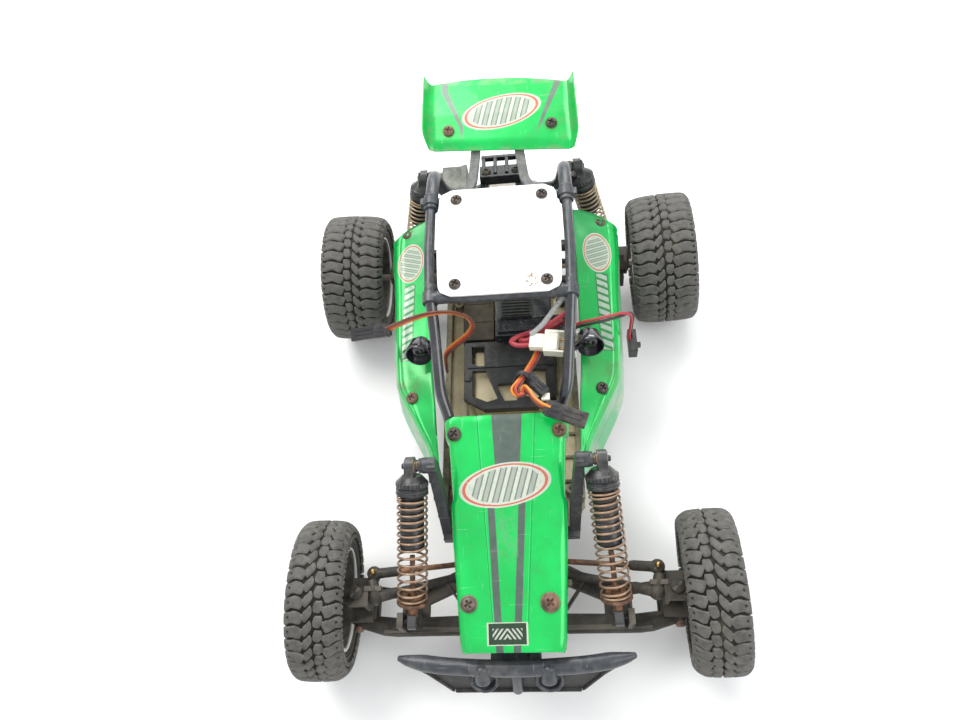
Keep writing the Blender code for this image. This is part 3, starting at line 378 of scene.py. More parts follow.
# ================================================================= wheel and tube materials
def rim_material():
    """White moulding, its inner dish brown with dirt."""
    mat = Shader("rim")
    medium = mat.noise(scale=0.22, detail=5, rough=0.65, seed=18)
    fine = mat.noise(scale=2.0, detail=6, rough=0.7, seed=19)
    x, y, z = mat.axes()
    from_axle = distance(abs(y) - 100.0, z - 39.3)
    color = mat.mix(medium, (0.60, 0.59, 0.56), (0.74, 0.73, 0.70))
    color = mat.mix(fine.step(0.52, 0.72) * 0.4, color, (0.38, 0.33, 0.25))
    dish = abs(x).step(98.5, 96.5) * from_axle.step(24.3, 23.4)
    dirt = mat.mix(medium.step(0.35, 0.65), (0.050, 0.045, 0.038), (0.105, 0.095, 0.078))
    color = mat.mix(dish * 0.97, color, dirt)
    specks = mat.noise(scale=1.1, detail=4, rough=0.7, seed=21).step(0.62, 0.70)
    color = mat.mix(specks * 0.6, color, (0.12, 0.10, 0.075))
    mat.bump(fine * 0.4 + medium * 0.4, strength=0.35, distance=0.0003)
    mat.done(color, mat.mix_value(medium, 0.30, 0.5).max(dish * 0.8))


def clear_tube_material():
    mat = Shader("clear_tube")
    cloud = mat.noise(scale=0.6, detail=3, rough=0.6)
    mat.bump(cloud, strength=0.2, distance=0.0001)
    mat.surface.inputs["Transmission Weight"].default_value = 0.35
    mat.surface.inputs["IOR"].default_value = 1.4
    color = mat.mix(cloud, (0.62, 0.63, 0.62), (0.45, 0.46, 0.46))
    mat.done(color, cloud.ramp(0, 1, 0.15, 0.4), coat=0.3)


def rubber_material():
    """Attribute h is 1 on a lug and 0 in a groove; pin marks the small holes."""
    mat = Shader("rubber")
    height = mat.attribute("h")
    pin = mat.attribute("pin")
    broad = mat.noise(scale=0.035, detail=3, rough=0.5, seed=4)
    medium = mat.noise(scale=0.30, detail=5, rough=0.65, seed=5)
    fine = mat.noise(scale=2.4, detail=6, rough=0.7, seed=6)
    color = mat.mix(medium.step(0.3, 0.7), (0.047, 0.0455, 0.042), (0.080, 0.078, 0.072))
    color = mat.mix(fine.step(0.5, 0.75) * 0.35, color, (0.150, 0.145, 0.135))
    # painted shade: the grooves are darkened towards near black where the lugs shade them
    color = mat.mix(height.step(0.80, 0.25), color, (0.016, 0.015, 0.013))
    # pale worn rim round each lug
    rim = height.band(0.45, 0.95, 0.15) * mat.mix_value(medium.step(0.35, 0.6), 0.35, 0.85)
    color = mat.mix(rim * 0.62, color, (0.27, 0.255, 0.225))
    # dust, thickest in the grooves
    dust = (broad * 0.8 + medium * 0.30).step(0.60, 0.80) * mat.mix_value(height, 0.75, 0.22)
    color = mat.mix(dust * 0.6, color, (0.22, 0.185, 0.125))
    specks = mat.noise(scale=0.9, detail=4, rough=0.7, seed=9).step(0.66, 0.72)
    color = mat.mix(specks * 0.5, color, (0.27, 0.25, 0.20))
    # painted shade: the pin holes are filled with near black
    color = mat.mix(pin, color, (0.003, 0.003, 0.003))
    mat.bump(fine * 0.5 + medium * 0.5, strength=0.40, distance=0.0003)
    mat.done(color, mat.mix_value(medium, 0.60, 0.82), specular=0.45)


# ================================================================= painted sheet materials
def green_paint(mat, seed, wear=1.0):
    """Returns colour, roughness, the scratch mask, and the medium and fine noises."""
    broad = mat.noise(scale=0.035, detail=3, rough=0.5, seed=seed)
    medium = mat.noise(scale=0.16, detail=5, rough=0.6, seed=seed + 2)
    fine = mat.noise(scale=1.6, detail=6, rough=0.7, seed=seed + 5)
    color = mat.mix(broad.step(0.3, 0.7), (0.0, 0.62, 0.105), (0.0, 0.46, 0.075))
    color = mat.mix(medium.step(0.45, 0.75) * 0.35, color, (0.004, 0.34, 0.065))
    flake = mat.noise(scale=7.0, detail=2, rough=0.5, seed=seed + 8)
    color = mat.mix(flake.step(0.58, 0.72) * 0.12, color, (0.12, 0.85, 0.32))
    long_a = mat.noise(scale=0.8, detail=2, rough=0.5, seed=seed + 1,
                       stretch=((0.07, 1.2, 0.5), (0.0, 0.0, 0.5)))
    long_b = mat.noise(scale=0.8, detail=2, rough=0.5, seed=seed + 4,
                       stretch=((1.3, 0.07, 0.5), (0.0, 0.0, -0.35)))
    scratch = long_a.step(0.675, 0.715).max(long_b.step(0.675, 0.715))
    color = mat.mix(scratch * (0.30 * wear), color, (0.25, 0.62, 0.35))
    grime = (medium * 0.6 + fine * 0.4).step(0.50, 0.68) * broad.step(0.46, 0.62)
    color = mat.mix(grime * (0.28 * wear), color, (0.16, 0.34, 0.13))
    specks = mat.noise(scale=0.95, detail=4, rough=0.65, seed=seed + 9).step(0.675, 0.70)
    color = mat.mix(specks * (0.55 * wear), color, (0.10, 0.13, 0.05))
    rough = mat.mix_value(medium, 0.17, 0.30)
    rough = rough.max((grime * 0.55).max(specks) * 0.8)
    return color, rough, scratch, medium, fine


def oval_badge(mat, color, rough, u, v, half_u, half_v, tilt=0.0):
    """Worn oval: pale field, thin red ring, a row of slanted bars. u, v are from its centre."""
    if tilt:
        cos, sin = math.cos(tilt), math.sin(tilt)
        u, v = u * cos + v * sin, v * cos - u * sin
    reach = distance(u * (1.0 / half_u), v * (1.0 / half_v))
    wear = mat.noise(scale=0.9, detail=4, rough=0.7, seed=3).step(0.30, 0.42)
    field = reach.step(1.03, 1.0) * wear
    clouds = mat.noise(scale=0.5, detail=4, rough=0.6, seed=8)
    color = mat.mix(field, color, mat.mix(clouds, (0.66, 0.66, 0.60), (0.47, 0.48, 0.42)))
    ring = (reach.step(0.955, 0.94) * reach.step(0.87, 0.885)) * wear
    color = mat.mix(ring, color, (0.55, 0.10, 0.07))
    cell = ((u - v * 0.45) + half_u * 20.0).pingpong(half_u * 0.125)
    inner = reach.step(0.80, 0.77)
    fill = (cell.step(half_u * 0.045, half_u * 0.060) * inner) * wear
    edge = (cell.band(half_u * 0.045, half_u * 0.075, half_u * 0.010) * inner) * wear
    color = mat.mix(fill * 0.55, color, (0.20, 0.21, 0.20))
    color = mat.mix(edge * 0.8, color, (0.075, 0.075, 0.080))
    return color, mat.mix_value(reach.step(1.03, 1.0), rough, 0.42)


def nose_stripes(mat, x, y):
    """One wide stripe behind the badge, two thin ones closing towards the front."""
    along = y.ramp(-21.0, -62.0, 0.0, 1.0)
    low = -7.3 + along * 2.0
    high = 8.2 - along * 3.2
    wide = ((x - low).step(-0.15, 0.15) * (high - x).step(-0.15, 0.15)) * y.step(-56.2, -55.8)
    along = y.ramp(-55.0, -129.0, 0.0, 1.0)
    right = -8.9 + along * 2.75
    left = 7.2 - along * 5.3
    thin = abs(x - right).step(1.85, 1.6).max(abs(x - left).step(1.85, 1.6))
    return wide.max(thin * y.step(-55.0, -56.0))


def nose_tag(mat, color, x, y):
    """Small dark plate near the front edge with a pale frame and chevron bars."""
    u, v = x + 2.4, y + 121.9
    plate = box_distance(u, v, 9.5, 4.9)
    wear = mat.noise(scale=0.9, detail=4, rough=0.7, seed=13).step(0.34, 0.44)
    color = mat.mix(plate.step(1.01, 0.99) * wear, color, (0.60, 0.62, 0.50))
    color = mat.mix(plate.step(0.93, 0.91), color, (0.018, 0.018, 0.02))
    chevron = ((abs(u) + v * 0.8) + 40.0).pingpong(1.1)
    bars = (chevron.step(0.62, 0.45) * box_distance(u, v, 6.9, 2.3).step(1.02, 0.98)) * wear
    return mat.mix(bars * 0.8, color, (0.62, 0.62, 0.56))


def nose_material():
    mat = Shader("nose_green")
    color, rough, scratch, medium, fine = green_paint(mat, 1.0)
    x, y, _ = mat.axes()
    normal_z = mat.normal_z()
    stripe = nose_stripes(mat, x, y)
    stripe_color = mat.mix((medium * 0.6 + fine * 0.4).step(0.4, 0.7),
                           (0.070, 0.075, 0.082), (0.115, 0.12, 0.12))
    stripe_color = mat.mix(scratch * 0.4, stripe_color, (0.25, 0.27, 0.27))
    color = mat.mix(stripe, color, stripe_color)
    rough = mat.mix_value(stripe, rough, 0.42)
    # greyed patch between the thin stripes
    film = (x.step(-6.3, -5.6) * x.step(4.3, 3.6)) * (y.step(-66.0, -69.0) * y.step(-97.0, -84.0))
    film = film * mat.noise(scale=0.25, detail=5, rough=0.7, seed=2).step(0.40, 0.62)
    color = mat.mix(film * 0.5, color, (0.15, 0.36, 0.20))
    # creases: dark lines of painted shade, with a pale lip of painted highlight inside each
    along = y.ramp(-21.0, -117.0, 0.0, 1.0)
    right = -CREASE_X + along * CREASE_CLOSING["right"]
    left = CREASE_X - along * CREASE_CLOSING["left"]
    to_line = abs(x - right).min(abs(x - left))
    to_lip = abs(x - (right + 0.55)).min(abs(x - (left - 0.55)))
    crease = to_line.step(0.30, 0.10) * y.step(-120.0, -116.0)
    color = mat.mix(crease * 0.6, color, (0.0, 0.17, 0.03))
    lip_highlight = to_lip.step(0.35, 0.1) * y.step(-120.0, -116.0)
    color = mat.mix(lip_highlight * 0.25, color, (0.10, 0.85, 0.35))
    # painted shade: darker fold lines, and side flanges darker where the sheet turns away from up
    half_width = y.ramp(-129.5, -21.0, 24.0, 31.0)
    fold_shade = abs(abs(x) - (half_width - 1.5)).step(1.0, 0.3)
    color = mat.mix((fold_shade * normal_z.step(0.5, 0.9)) * 0.30, color, (0.01, 0.30, 0.06))
    color = mat.mix(normal_z.step(0.45, 0.15) * 0.55, color, (0.0, 0.16, 0.035))
    # stains round the screws: x, y, strength
    for hole_x, hole_y, strength in ((26.6, -29.8, 0.7), (17.5, -108.8, 0.6),
                                     (-26.6, -29.7, 0.5), (-20.1, -108.7, 0.4)):
        reach = distance(x - hole_x, y - hole_y)
        stain = (reach + medium * 2.5).step(6.4, 4.6) * strength
        color = mat.mix(stain * 0.6, color, (0.12, 0.12, 0.035))
    color, rough = oval_badge(mat, color, rough, x + 1.4, (y + 55.5) * 1.02,
                              half_u=22.4, half_v=10.4, tilt=0.14)
    color = nose_tag(mat, color, x, y)
    relief = (crease * -1.6 + fine * 0.10) + (scratch * -0.15 + medium * 0.25)
    mat.bump(relief, strength=0.5, distance=0.0004)
    mat.done(mat.mix(0.12, color, (0.0, 0.22, 0.03)), rough.max(0.22), metal=0.22, coat=0.45,
             coat_rough=0.12, specular=0.38)


def side_material(side, sign):
    mat = Shader("side_green_" + side)
    color, rough, _, medium, fine = green_paint(mat, 4.0 + sign)
    x, y, z = mat.axes()
    normal_z = mat.normal_z()
    out = x * float(sign)
    # duller rear half, partly dust haze and partly a painted reflection of the surroundings;
    # dusty band at the lamp
    dust_and_reflection = y.step(40.0, 95.0) * out.step(64.0, 52.0)
    color = mat.mix(dust_and_reflection * 0.55, color, (0.03, 0.22, 0.085))
    color = mat.mix((y.step(22.0, 4.0) * y.step(-10.0, 6.0)) * 0.20, color, (0.26, 0.30, 0.20))
    # greyish outer wall with one dark line
    wall = normal_z.step(0.42, 0.10)
    patches = mat.noise(scale=0.05, detail=4, rough=0.6, seed=6).step(0.38, 0.62)
    wall_color = mat.mix(patches, (0.36, 0.42, 0.35), (0.09, 0.40, 0.17))
    wall_color = mat.mix(fine.step(0.55, 0.75), wall_color, (0.30, 0.33, 0.27))
    color = mat.mix(wall * 0.9, color, wall_color)
    to_line = abs(z - y.ramp(-46.0, 20.0, 49.0, 58.0))
    line = (to_line.step(0.45, 0.15) * wall) * y.step(30.0, 22.0)
    color = mat.mix(line * 0.75, color, (0.05, 0.06, 0.055))
    # stain round the rear screw
    stain = (distance(out - 56.5, y - 102.4) + medium * 2.0).step(5.6, 4.0)
    color = mat.mix(stain * 0.35, color, (0.12, 0.13, 0.05))
    badge_y, badge_x = (81.0, 54.2) if sign < 0 else (80.0, 53.0)
    color, rough = oval_badge(mat, color, rough, y - badge_y, out - badge_x,
                              half_u=13.2, half_v=8.0)
    # brown dirt by the lamp and the front screw: y, x, reach
    for dirt_y, dirt_x, size in ((9.0, 53.0, 17.0), (-15.0, 53.0, 9.0)):
        reach = distance(y - dirt_y, (out - dirt_x) * 1.2)
        grain = (fine * 0.55 + medium * 0.45).step(0.47, 0.62)
        dirt = (reach.step(size, size * 0.35) * grain) * (1.0 - wall)
        color = mat.mix(dirt * 0.62, color, (0.17, 0.155, 0.085))
    # a ladder of pale slanted tiles on a dark strip
    u, v = y - 42.0, out - 54.3
    wear = mat.noise(scale=0.8, detail=4, rough=0.7, seed=17).step(0.33, 0.45)
    cell = ((u + v * 0.35) + 100.0).pingpong(2.3)
    inner = box_distance(u, v, 23.6, 2.9).step(1.01, 0.98)
    strip = box_distance(u, v, 24.4, 3.7).step(1.01, 0.98)
    color = mat.mix((strip * wear) * 0.70, color, (0.05, 0.07, 0.06))
    tiles = (inner * cell.step(0.75, 1.0)) * wear
    color = mat.mix(tiles * 0.88, color, (0.55, 0.58, 0.53))
    mat.bump((fine * 0.12 + line * -1.2) + medium * 0.35, strength=0.45, distance=0.0004)
    mat.done(mat.mix((1.0 - wall) * 0.30, color, (0.0, 0.17, 0.03)),
             mat.mix_value(wall, rough.max(0.24), 0.42), metal=(1.0 - wall) * 0.20,
             coat=mat.mix_value(wall, 0.38, 0.12), coat_rough=0.12, specular=0.38)


def wing_material():
    mat = Shader("wing_green")
    color, rough, _, medium, fine = green_paint(mat, 9.0, wear=1.5)
    x, y, _ = mat.axes()
    # a tapering slanted stripe on each side: sign, front y, rear x, front x
    for sign, front_y, rear_x, front_x in ((-1, 141.0, 28.7, 19.6), (1, 133.0, 35.8, 22.5)):
        centre = y.ramp(164.0, front_y, rear_x, front_x) * float(sign)
        half = y.ramp(164.0, 136.0, 1.9, 0.9)
        stripe = (abs(x - centre) - half).step(0.2, -0.1) * y.step(131.0, 141.0)
        tone = mat.mix(medium, (0.10, 0.11, 0.115), (0.21, 0.23, 0.22))
        color = mat.mix(stripe, color, tone)
    # scuffed ends, pale front and rear edges
    ends = abs(x).step(27.0, 40.0) * (fine * 0.5 + medium * 0.5).step(0.46, 0.60)
    color = mat.mix(ends * 0.5, color, (0.20, 0.33, 0.14))
    turned_y = y + (x - 2.2) * 0.0805
    rim = turned_y.step(165.5, 167.5).max(turned_y.step(129.0, 127.0))
    color = mat.mix((rim * medium.step(0.4, 0.6)) * 0.5, color, (0.28, 0.42, 0.25))
    for hole_x, hole_y in ((-26.9, 139.3), (31.0, 138.0)):
        stain = (distance(x - hole_x, y - hole_y) + medium * 3.0).step(6.6, 4.4)
        color = mat.mix(stain * 0.45, color, (0.13, 0.14, 0.05))
    color, rough = oval_badge(mat, color, rough, x - 3.4, (y - 148.9) * 1.04,
                              half_u=22.5, half_v=10.6, tilt=0.17)
    mat.bump(fine * 0.15 + medium * 0.4, strength=0.5, distance=0.0004)
    mat.done(mat.mix(0.22, color, (0.0, 0.20, 0.03)), rough.max(0.26), metal=0.20, coat=0.35,
             coat_rough=0.14, specular=0.35)


def roof_material():
    """White with brown specks gathered near two front spots."""
    mat = Shader("roof_white")
    medium = mat.noise(scale=0.12, detail=4, rough=0.6)
    fine = mat.noise(scale=1.8, detail=6, rough=0.7)
    color = mat.mix(medium, (0.86, 0.86, 0.85), (0.90, 0.90, 0.895))
    x, y, _ = mat.axes()
    left_spot = distance(x - 17.5, (y - 39.0) * 1.5).step(11.0, 3.0) * 1.0
    near = left_spot.max(distance(x + 24.5, (y - 42.5) * 1.5).step(4.5, 1.0) * 0.5)
    speckle = mat.noise(scale=0.55, detail=5, rough=0.75, seed=3)
    specks = (speckle + near * 0.16).step(0.66, 0.70) * near.step(0.05, 0.3)
    color = mat.mix(specks, color, (0.22, 0.12, 0.035))
    lines = mat.noise(scale=0.5, detail=3, rough=0.6, seed=5,
                      stretch=((1.5, 0.25, 1), (0, 0, 0.6))).step(0.70, 0.73) * 0.5
    color = mat.mix(lines * near.step(0.0, 0.4), color, (0.30, 0.24, 0.18))
    scratch = mat.noise(scale=0.9, detail=2, rough=0.5, seed=8,
                        stretch=((1.6, 0.09, 1), (0, 0, -0.45))).step(0.735, 0.76)
    color = mat.mix(scratch * 0.45, color, (0.35, 0.35, 0.35))
    rim = abs(x).step(29.5, 32.5).max(y.step(35.5, 33.0).max(y.step(94.5, 97.5)))
    color = mat.mix((rim * fine.step(0.45, 0.7)) * 0.35, color, (0.45, 0.42, 0.36))
    mat.bump(fine * 0.08 + medium * 0.3, strength=0.3, distance=0.0003)
    mat.done(color, mat.mix_value(medium, 0.22, 0.34), coat=0.35)


rim_material()
clear_tube_material()
rubber_material()
nose_material()
for side, sign in SIDES:
    side_material(side, sign)
wing_material()
roof_material()


# ================================================================= geometry helpers
def to_world(point):
    return Vector((point[0], point[1] + Y_SHIFT, point[2])) * MM


def mirrored(point, sign):
    return (point[0] * sign, *point[1:])


def smooth01(t):
    t = np.clip(t, 0, 1)
    return t * t * (3 - 2 * t)


def axes_for(direction):
    """Two cross axes and the unit direction."""
    direction = Vector(direction).normalized()
    reference = Vector((0, 0, 1)) if abs(direction.z) < 0.9 else Vector((1, 0, 0))
    across = reference.cross(direction).normalized()
    return across, direction.cross(across).normalized(), direction


def catmull(points, per=6):
    """Smooth curve through all points."""
    points = [Vector(p) for p in points]
    path = []
    for i in range(len(points) - 1):
        p1, p2 = points[i], points[i + 1]
        p0 = points[i - 1] if i else p1 * 2 - p2
        p3 = points[i + 2] if i + 2 < len(points) else points[-1] * 2 - points[-2]
        for k in range(per):
            t = k / per
            path.append(0.5 * ((2 * p1) + (p2 - p0) * t + (2 * p0 - 5 * p1 + 4 * p2 - p3) * t * t
                               + (3 * p1 - 3 * p2 + p3 - p0) * t ** 3))
    path.append(points[-1])
    return path


def arc_corner(before, corner, after, radius, steps=4):
    """Points rounding one corner of an outline."""
    before, corner, after = Vector(before), Vector(corner), Vector(after)
    length_in, length_out = (before - corner).length, (after - corner).length
    radius = min(radius, length_in * 0.45, length_out * 0.45)
    start = corner + (before - corner) / length_in * radius
    end = corner + (after - corner) / length_out * radius
    return [start * (1 - t) ** 2 + corner * 2 * t * (1 - t) + end * t * t
            for t in [k / steps for k in range(steps + 1)]]


def fillet(points, radius, per=5):
    """Polyline with each corner rounded."""
    path = [Vector(points[0])]
    for before, corner, after in zip(points, points[1:], points[2:]):
        path += arc_corner(before, corner, after, radius, per)
    path.append(Vector(points[-1]))
    return path


def ball_profile(radius, steps=14, centre=0.0):
    return [(centre - radius * math.cos(angle), max(0.02, radius * math.sin(angle)))
            for angle in [math.pi * k / steps for k in range(steps + 1)]]


def half_round(across, outward, radius):
    """Half circle of offsets, bulging outward."""
    return [across * (radius * math.cos(angle)) + outward * (radius * math.sin(angle))
            for angle in [math.pi * k / 12 for k in range(13)]]


class Part:
    """Faces gathered in fit millimetres and then turned into a mesh."""

    def __init__(self):
        self.bm = bmesh.new()

    def loft(self, sections, closed=False):
        """Skin over equal rings; an open run is capped at both ends."""
        rings = [[self.bm.verts.new(p) for p in section] for section in sections]
        following = rings[1:] + rings[:1] if closed else rings[1:]
        count = len(rings[0])
        for ring, after in zip(rings, following):
            for j in range(count):
                k = (j + 1) % count
                self.bm.faces.new((ring[j], ring[k], after[k], after[j]))
        if not closed:
            self.bm.faces.new(rings[0][::-1])
            self.bm.faces.new(rings[-1])

    def grid(self, rows):
        """Open surface over rows of points."""
        rows = [[self.bm.verts.new(p) for p in row] for row in rows]
        for row, after in zip(rows, rows[1:]):
            for j in range(len(row) - 1):
                self.bm.faces.new((row[j], row[j + 1], after[j + 1], after[j]))

    def tube(self, path, radius, sides=16):
        """Round bar with domed ends; radius is one number or one per point."""
        points = [Vector(p) for p in path]
        count = len(points)
        radii = radius if isinstance(radius, list) else [radius] * count
        tangents = [(points[min(count - 1, i + 1)] - points[max(0, i - 1)]).normalized()
                    for i in range(count)]
        across, up, _ = axes_for(tangents[0])
        stations = []
        for i in range(count):
            if i:
                turn = tangents[i - 1].rotation_difference(tangents[i])
                across, up = turn @ across, turn @ up
            stations.append((points[i], radii[i], across.copy(), up.copy()))

        def dome(station, outward, steps):
            centre, end_radius, side_axis, up_axis = station
            for k in steps:
                angle = math.pi / 2 * k / 4
                ring_radius = end_radius * math.cos(angle) if angle < 1.5 else 0.02
                yield (centre + outward * (end_radius * 0.55 * math.sin(angle)), ring_radius,
                       side_axis, up_axis)

        stations = [*dome(stations[0], -tangents[0], (4, 3, 2, 1)), *stations,
                    *dome(stations[-1], tangents[-1], (1, 2, 3, 4))]
        angles = [2 * math.pi * k / sides for k in range(sides)]
        self.loft([[centre + side_axis * (math.cos(a) * size) + up_axis * (math.sin(a) * size)
                    for a in angles] for centre, size, side_axis, up_axis in stations])

    def lathe(self, profile, base, axis, sides=40, wave=None):
        """(along, radius) outline turned about the line through base; wave scales a radius."""
        base = Vector(base)
        across, up, axis = axes_for(axis)
        sections = []
        for along, radius in profile:
            ring = []
            for k in range(sides):
                angle = 2 * math.pi * k / sides
                size = max(radius, 0.015)
                if wave:
                    size *= wave(angle, along, radius)
                ring.append(base + axis * along
                            + (across * math.cos(angle) + up * math.sin(angle)) * size)
            sections.append(ring)
        self.loft(sections)

    def ring(self, profile, base, axis, sides):
        """Closed (along, radius) outline turned into a ring."""
        base = Vector(base)
        across, up, axis = axes_for(axis)
        rings = []
        for k in range(sides):
            angle = 2 * math.pi * k / sides
            spoke = across * math.cos(angle) + up * math.sin(angle)
            rings.append([base + axis * along + spoke * radius for along, radius in profile])
        self.loft(rings, closed=True)

    def box(self, x0, x1, y0, y1, z0, z1, place=Vector):
        corners = [self.bm.verts.new(place((x, y, z)))
                   for x in (x0, x1) for y in (y0, y1) for z in (z0, z1)]
        for face in ((0, 1, 3, 2), (4, 6, 7, 5), (0, 4, 5, 1), (2, 3, 7, 6), (0, 2, 6, 4),
                     (1, 5, 7, 3)):
            self.bm.faces.new([corners[i] for i in face])

    def prism(self, outline, z0, z1):
        self.loft([[(*p, z) for p in outline] for z in (z0, z1)])

    def web(self, start, end, half, bottom, start_top, end_top):
        """Upright wall between two points in plan."""
        start, end = Vector((*start, 0)), Vector((*end, 0))
        along = (end - start).normalized()
        across = Vector((-along.y, along.x, 0)) * half
        self.loft([[p + across + Vector((0, 0, z)) for z in (bottom, top)]
                   + [p - across + Vector((0, 0, z)) for z in (top, bottom)]
                   for p, top in ((start, start_top), (end, end_top))])

    def recalculate(self):
        bmesh.ops.recalc_face_normals(self.bm, faces=self.bm.faces)

    def move_to_world(self):
        for vert in self.bm.verts:
            vert.co = to_world(vert.co)

    def mesh(self):
        mesh = bpy.data.meshes.new("part")
        self.bm.to_mesh(mesh)
        self.bm.free()
        return mesh

    def finished_mesh(self):
        self.recalculate()
        self.move_to_world()
        return self.mesh()


def shade(mesh, angle):
    """Smooth shading, split at edges sharper than angle unless it is None."""
    mesh.shade_smooth()
    if angle is not None:
        mesh.set_sharp_from_angle(angle=math.radians(angle))


def add_object(mesh, name, material, slot, replaces=False, body="chassis", smooth=40.0):
    mesh.name = name
    obj = bpy.data.objects.new(name, mesh)
    COLLECTION.objects.link(obj)
    mesh.materials.clear()
    mesh.materials.append(MATERIALS[material])
    shade(mesh, smooth)
    if body:
        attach(obj, body)
    if replaces:
        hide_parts(slot)
    return obj


def add_bevel(obj, width, segments=2, angle=35.0):
    modifier = obj.modifiers.new("bevel", "BEVEL")
    modifier.width = width * MM
    modifier.segments = segments
    modifier.limit_method = "ANGLE"
    modifier.angle_limit = math.radians(angle)
    modifier.harden_normals = True
    modifier.use_clamp_overlap = True


def solid(name, build, material, slot, replaces=False, body="chassis", bevel=0.35, segments=2,
          smooth=40.0):
    part = Part()
    build(part)
    obj = add_object(part.finished_mesh(), name, material, slot, replaces, body, smooth)
    if bevel:
        add_bevel(obj, bevel, segments)
    return obj


def refine(node, material, bevel=0.35, segments=2, extra=None):
    """Finer copy of a CAD node: flat faces joined, hard edges rounded, details added."""
    source = NODES[node]
    part = Part()
    mesh = part.bm
    mesh.from_mesh(source.data)
    bmesh.ops.remove_doubles(mesh, verts=mesh.verts, dist=1e-6)
    bmesh.ops.dissolve_limit(mesh, angle_limit=math.radians(1.0), verts=mesh.verts,
                             edges=mesh.edges)
    if extra:
        for vert in mesh.verts:
            vert.co = vert.co * 1000 - Vector((0, Y_SHIFT, 0))
        extra(part)
        part.move_to_world()
    obj = add_object(part.mesh(), "v_" + node, material, node, True, source["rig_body"], 38.0)
    add_bevel(obj, bevel, segments)


# ================================================================= screws
SCREWS = {}                          # material: arguments of add_screw


def screw(point, axis, material, radius, height, spin, washer=0.0):
    SCREWS.setdefault(material, []).append((point, axis, radius, height, spin, washer))


def add_screw(part, point, axis, radius, height, spin, washer):
    """Domed head with a cross sunk into the crown."""
    point = Vector(point)
    across, up, axis_unit = axes_for(axis)
    cos, sin = math.cos(spin), math.sin(spin)
    across, up = across * cos + up * sin, up * cos - across * sin
    ring_count, sides = 12, 48
    verts, faces = part.bm.verts, part.bm.faces
    if washer:
        part.lathe([(-0.15, radius * 0.5), (-0.15, washer), (0.25, washer),
                    (0.45, washer * 0.96), (0.5, radius * 0.6)], point, axis, 32)
    rings = []
    for i in range(ring_count + 1):
        t = i / ring_count
        ring = []
        for k in range(sides if i else 1):
            angle = 2 * math.pi * k / sides
            x, y = radius * t * math.cos(angle), radius * t * math.sin(angle)
            z = height * math.sqrt(max(0.0, 1 - (t * 0.97) ** 2.6)) * 0.95 + height * 0.05
            outside = min(max(abs(x) - 0.17 * radius, abs(y) - 0.60 * radius),
                          max(abs(y) - 0.17 * radius, abs(x) - 0.60 * radius))
            z -= height * 0.62 * min(1.0, max(0.0, -outside / (0.10 * radius)))
            lift = 0.4 if washer else 0.0
            ring.append(verts.new(point + across * x + up * y + axis_unit * (z + lift)))
        rings.append(ring)
    rings.append([verts.new(vert.co - axis_unit * 0.9) for vert in rings[-1]])
    for k in range(sides):
        faces.new((rings[0][0], rings[1][k], rings[1][(k + 1) % sides]))
    for ring, after in zip(rings[1:], rings[2:]):
        for k in range(sides):
            faces.new((ring[k], after[k], after[(k + 1) % sides], ring[(k + 1) % sides]))
    faces.new(rings[-1][::-1])


# ================================================================= tyres
# the wheels lean in at the top: angle, axle x and z at the wheel
LEAN = {"front": (math.radians(6.5), 95.5, 39.35), "rear": (math.radians(4.5), 94.0, 39.5)}
LUGS = 36
LUG_PITCH = 2 * math.pi * TYRE_R / LUGS
GROOVE_DEPTH = 2.0
# (inset from the edge, radius) from bead to shoulder
INNER_WALL = ((4.4, 25.7), (2.7, 26.3), (1.0, 28.6), (0.15, 31.2), (0.45, 33.4), (1.6, 35.5),
              (3.9, 37.4))
OUTER_WALL = ((1.4, 25.9), (0.5, 27.4), (0.05, 31.0), (0.35, 34.2), (1.3, 36.3), (3.6, 38.2))


def lean_xz(axle, sign, x, z):
    """Level-axis coordinates onto the leaning axis."""
    lean, centre_x, centre_z = LEAN[axle]
    dx, dz = x - sign * centre_x, z - AXLE_Z
    angle = -sign * lean
    return (sign * centre_x + dx * math.cos(angle) + dz * math.sin(angle),
            centre_z - dx * math.sin(angle) + dz * math.cos(angle))


def leaning(axle, sign, build):
    def build_leaning(part):
        build(part)
        for vert in part.bm.verts:
            vert.co.x, vert.co.z = lean_xz(axle, sign, vert.co.x, vert.co.z)
    return build_leaning


def cell(around, offset):
    """Place within one pitch, from -0.5 to 0.5."""
    return (around / LUG_PITCH + offset + 0.5) % 1.0 - 0.5


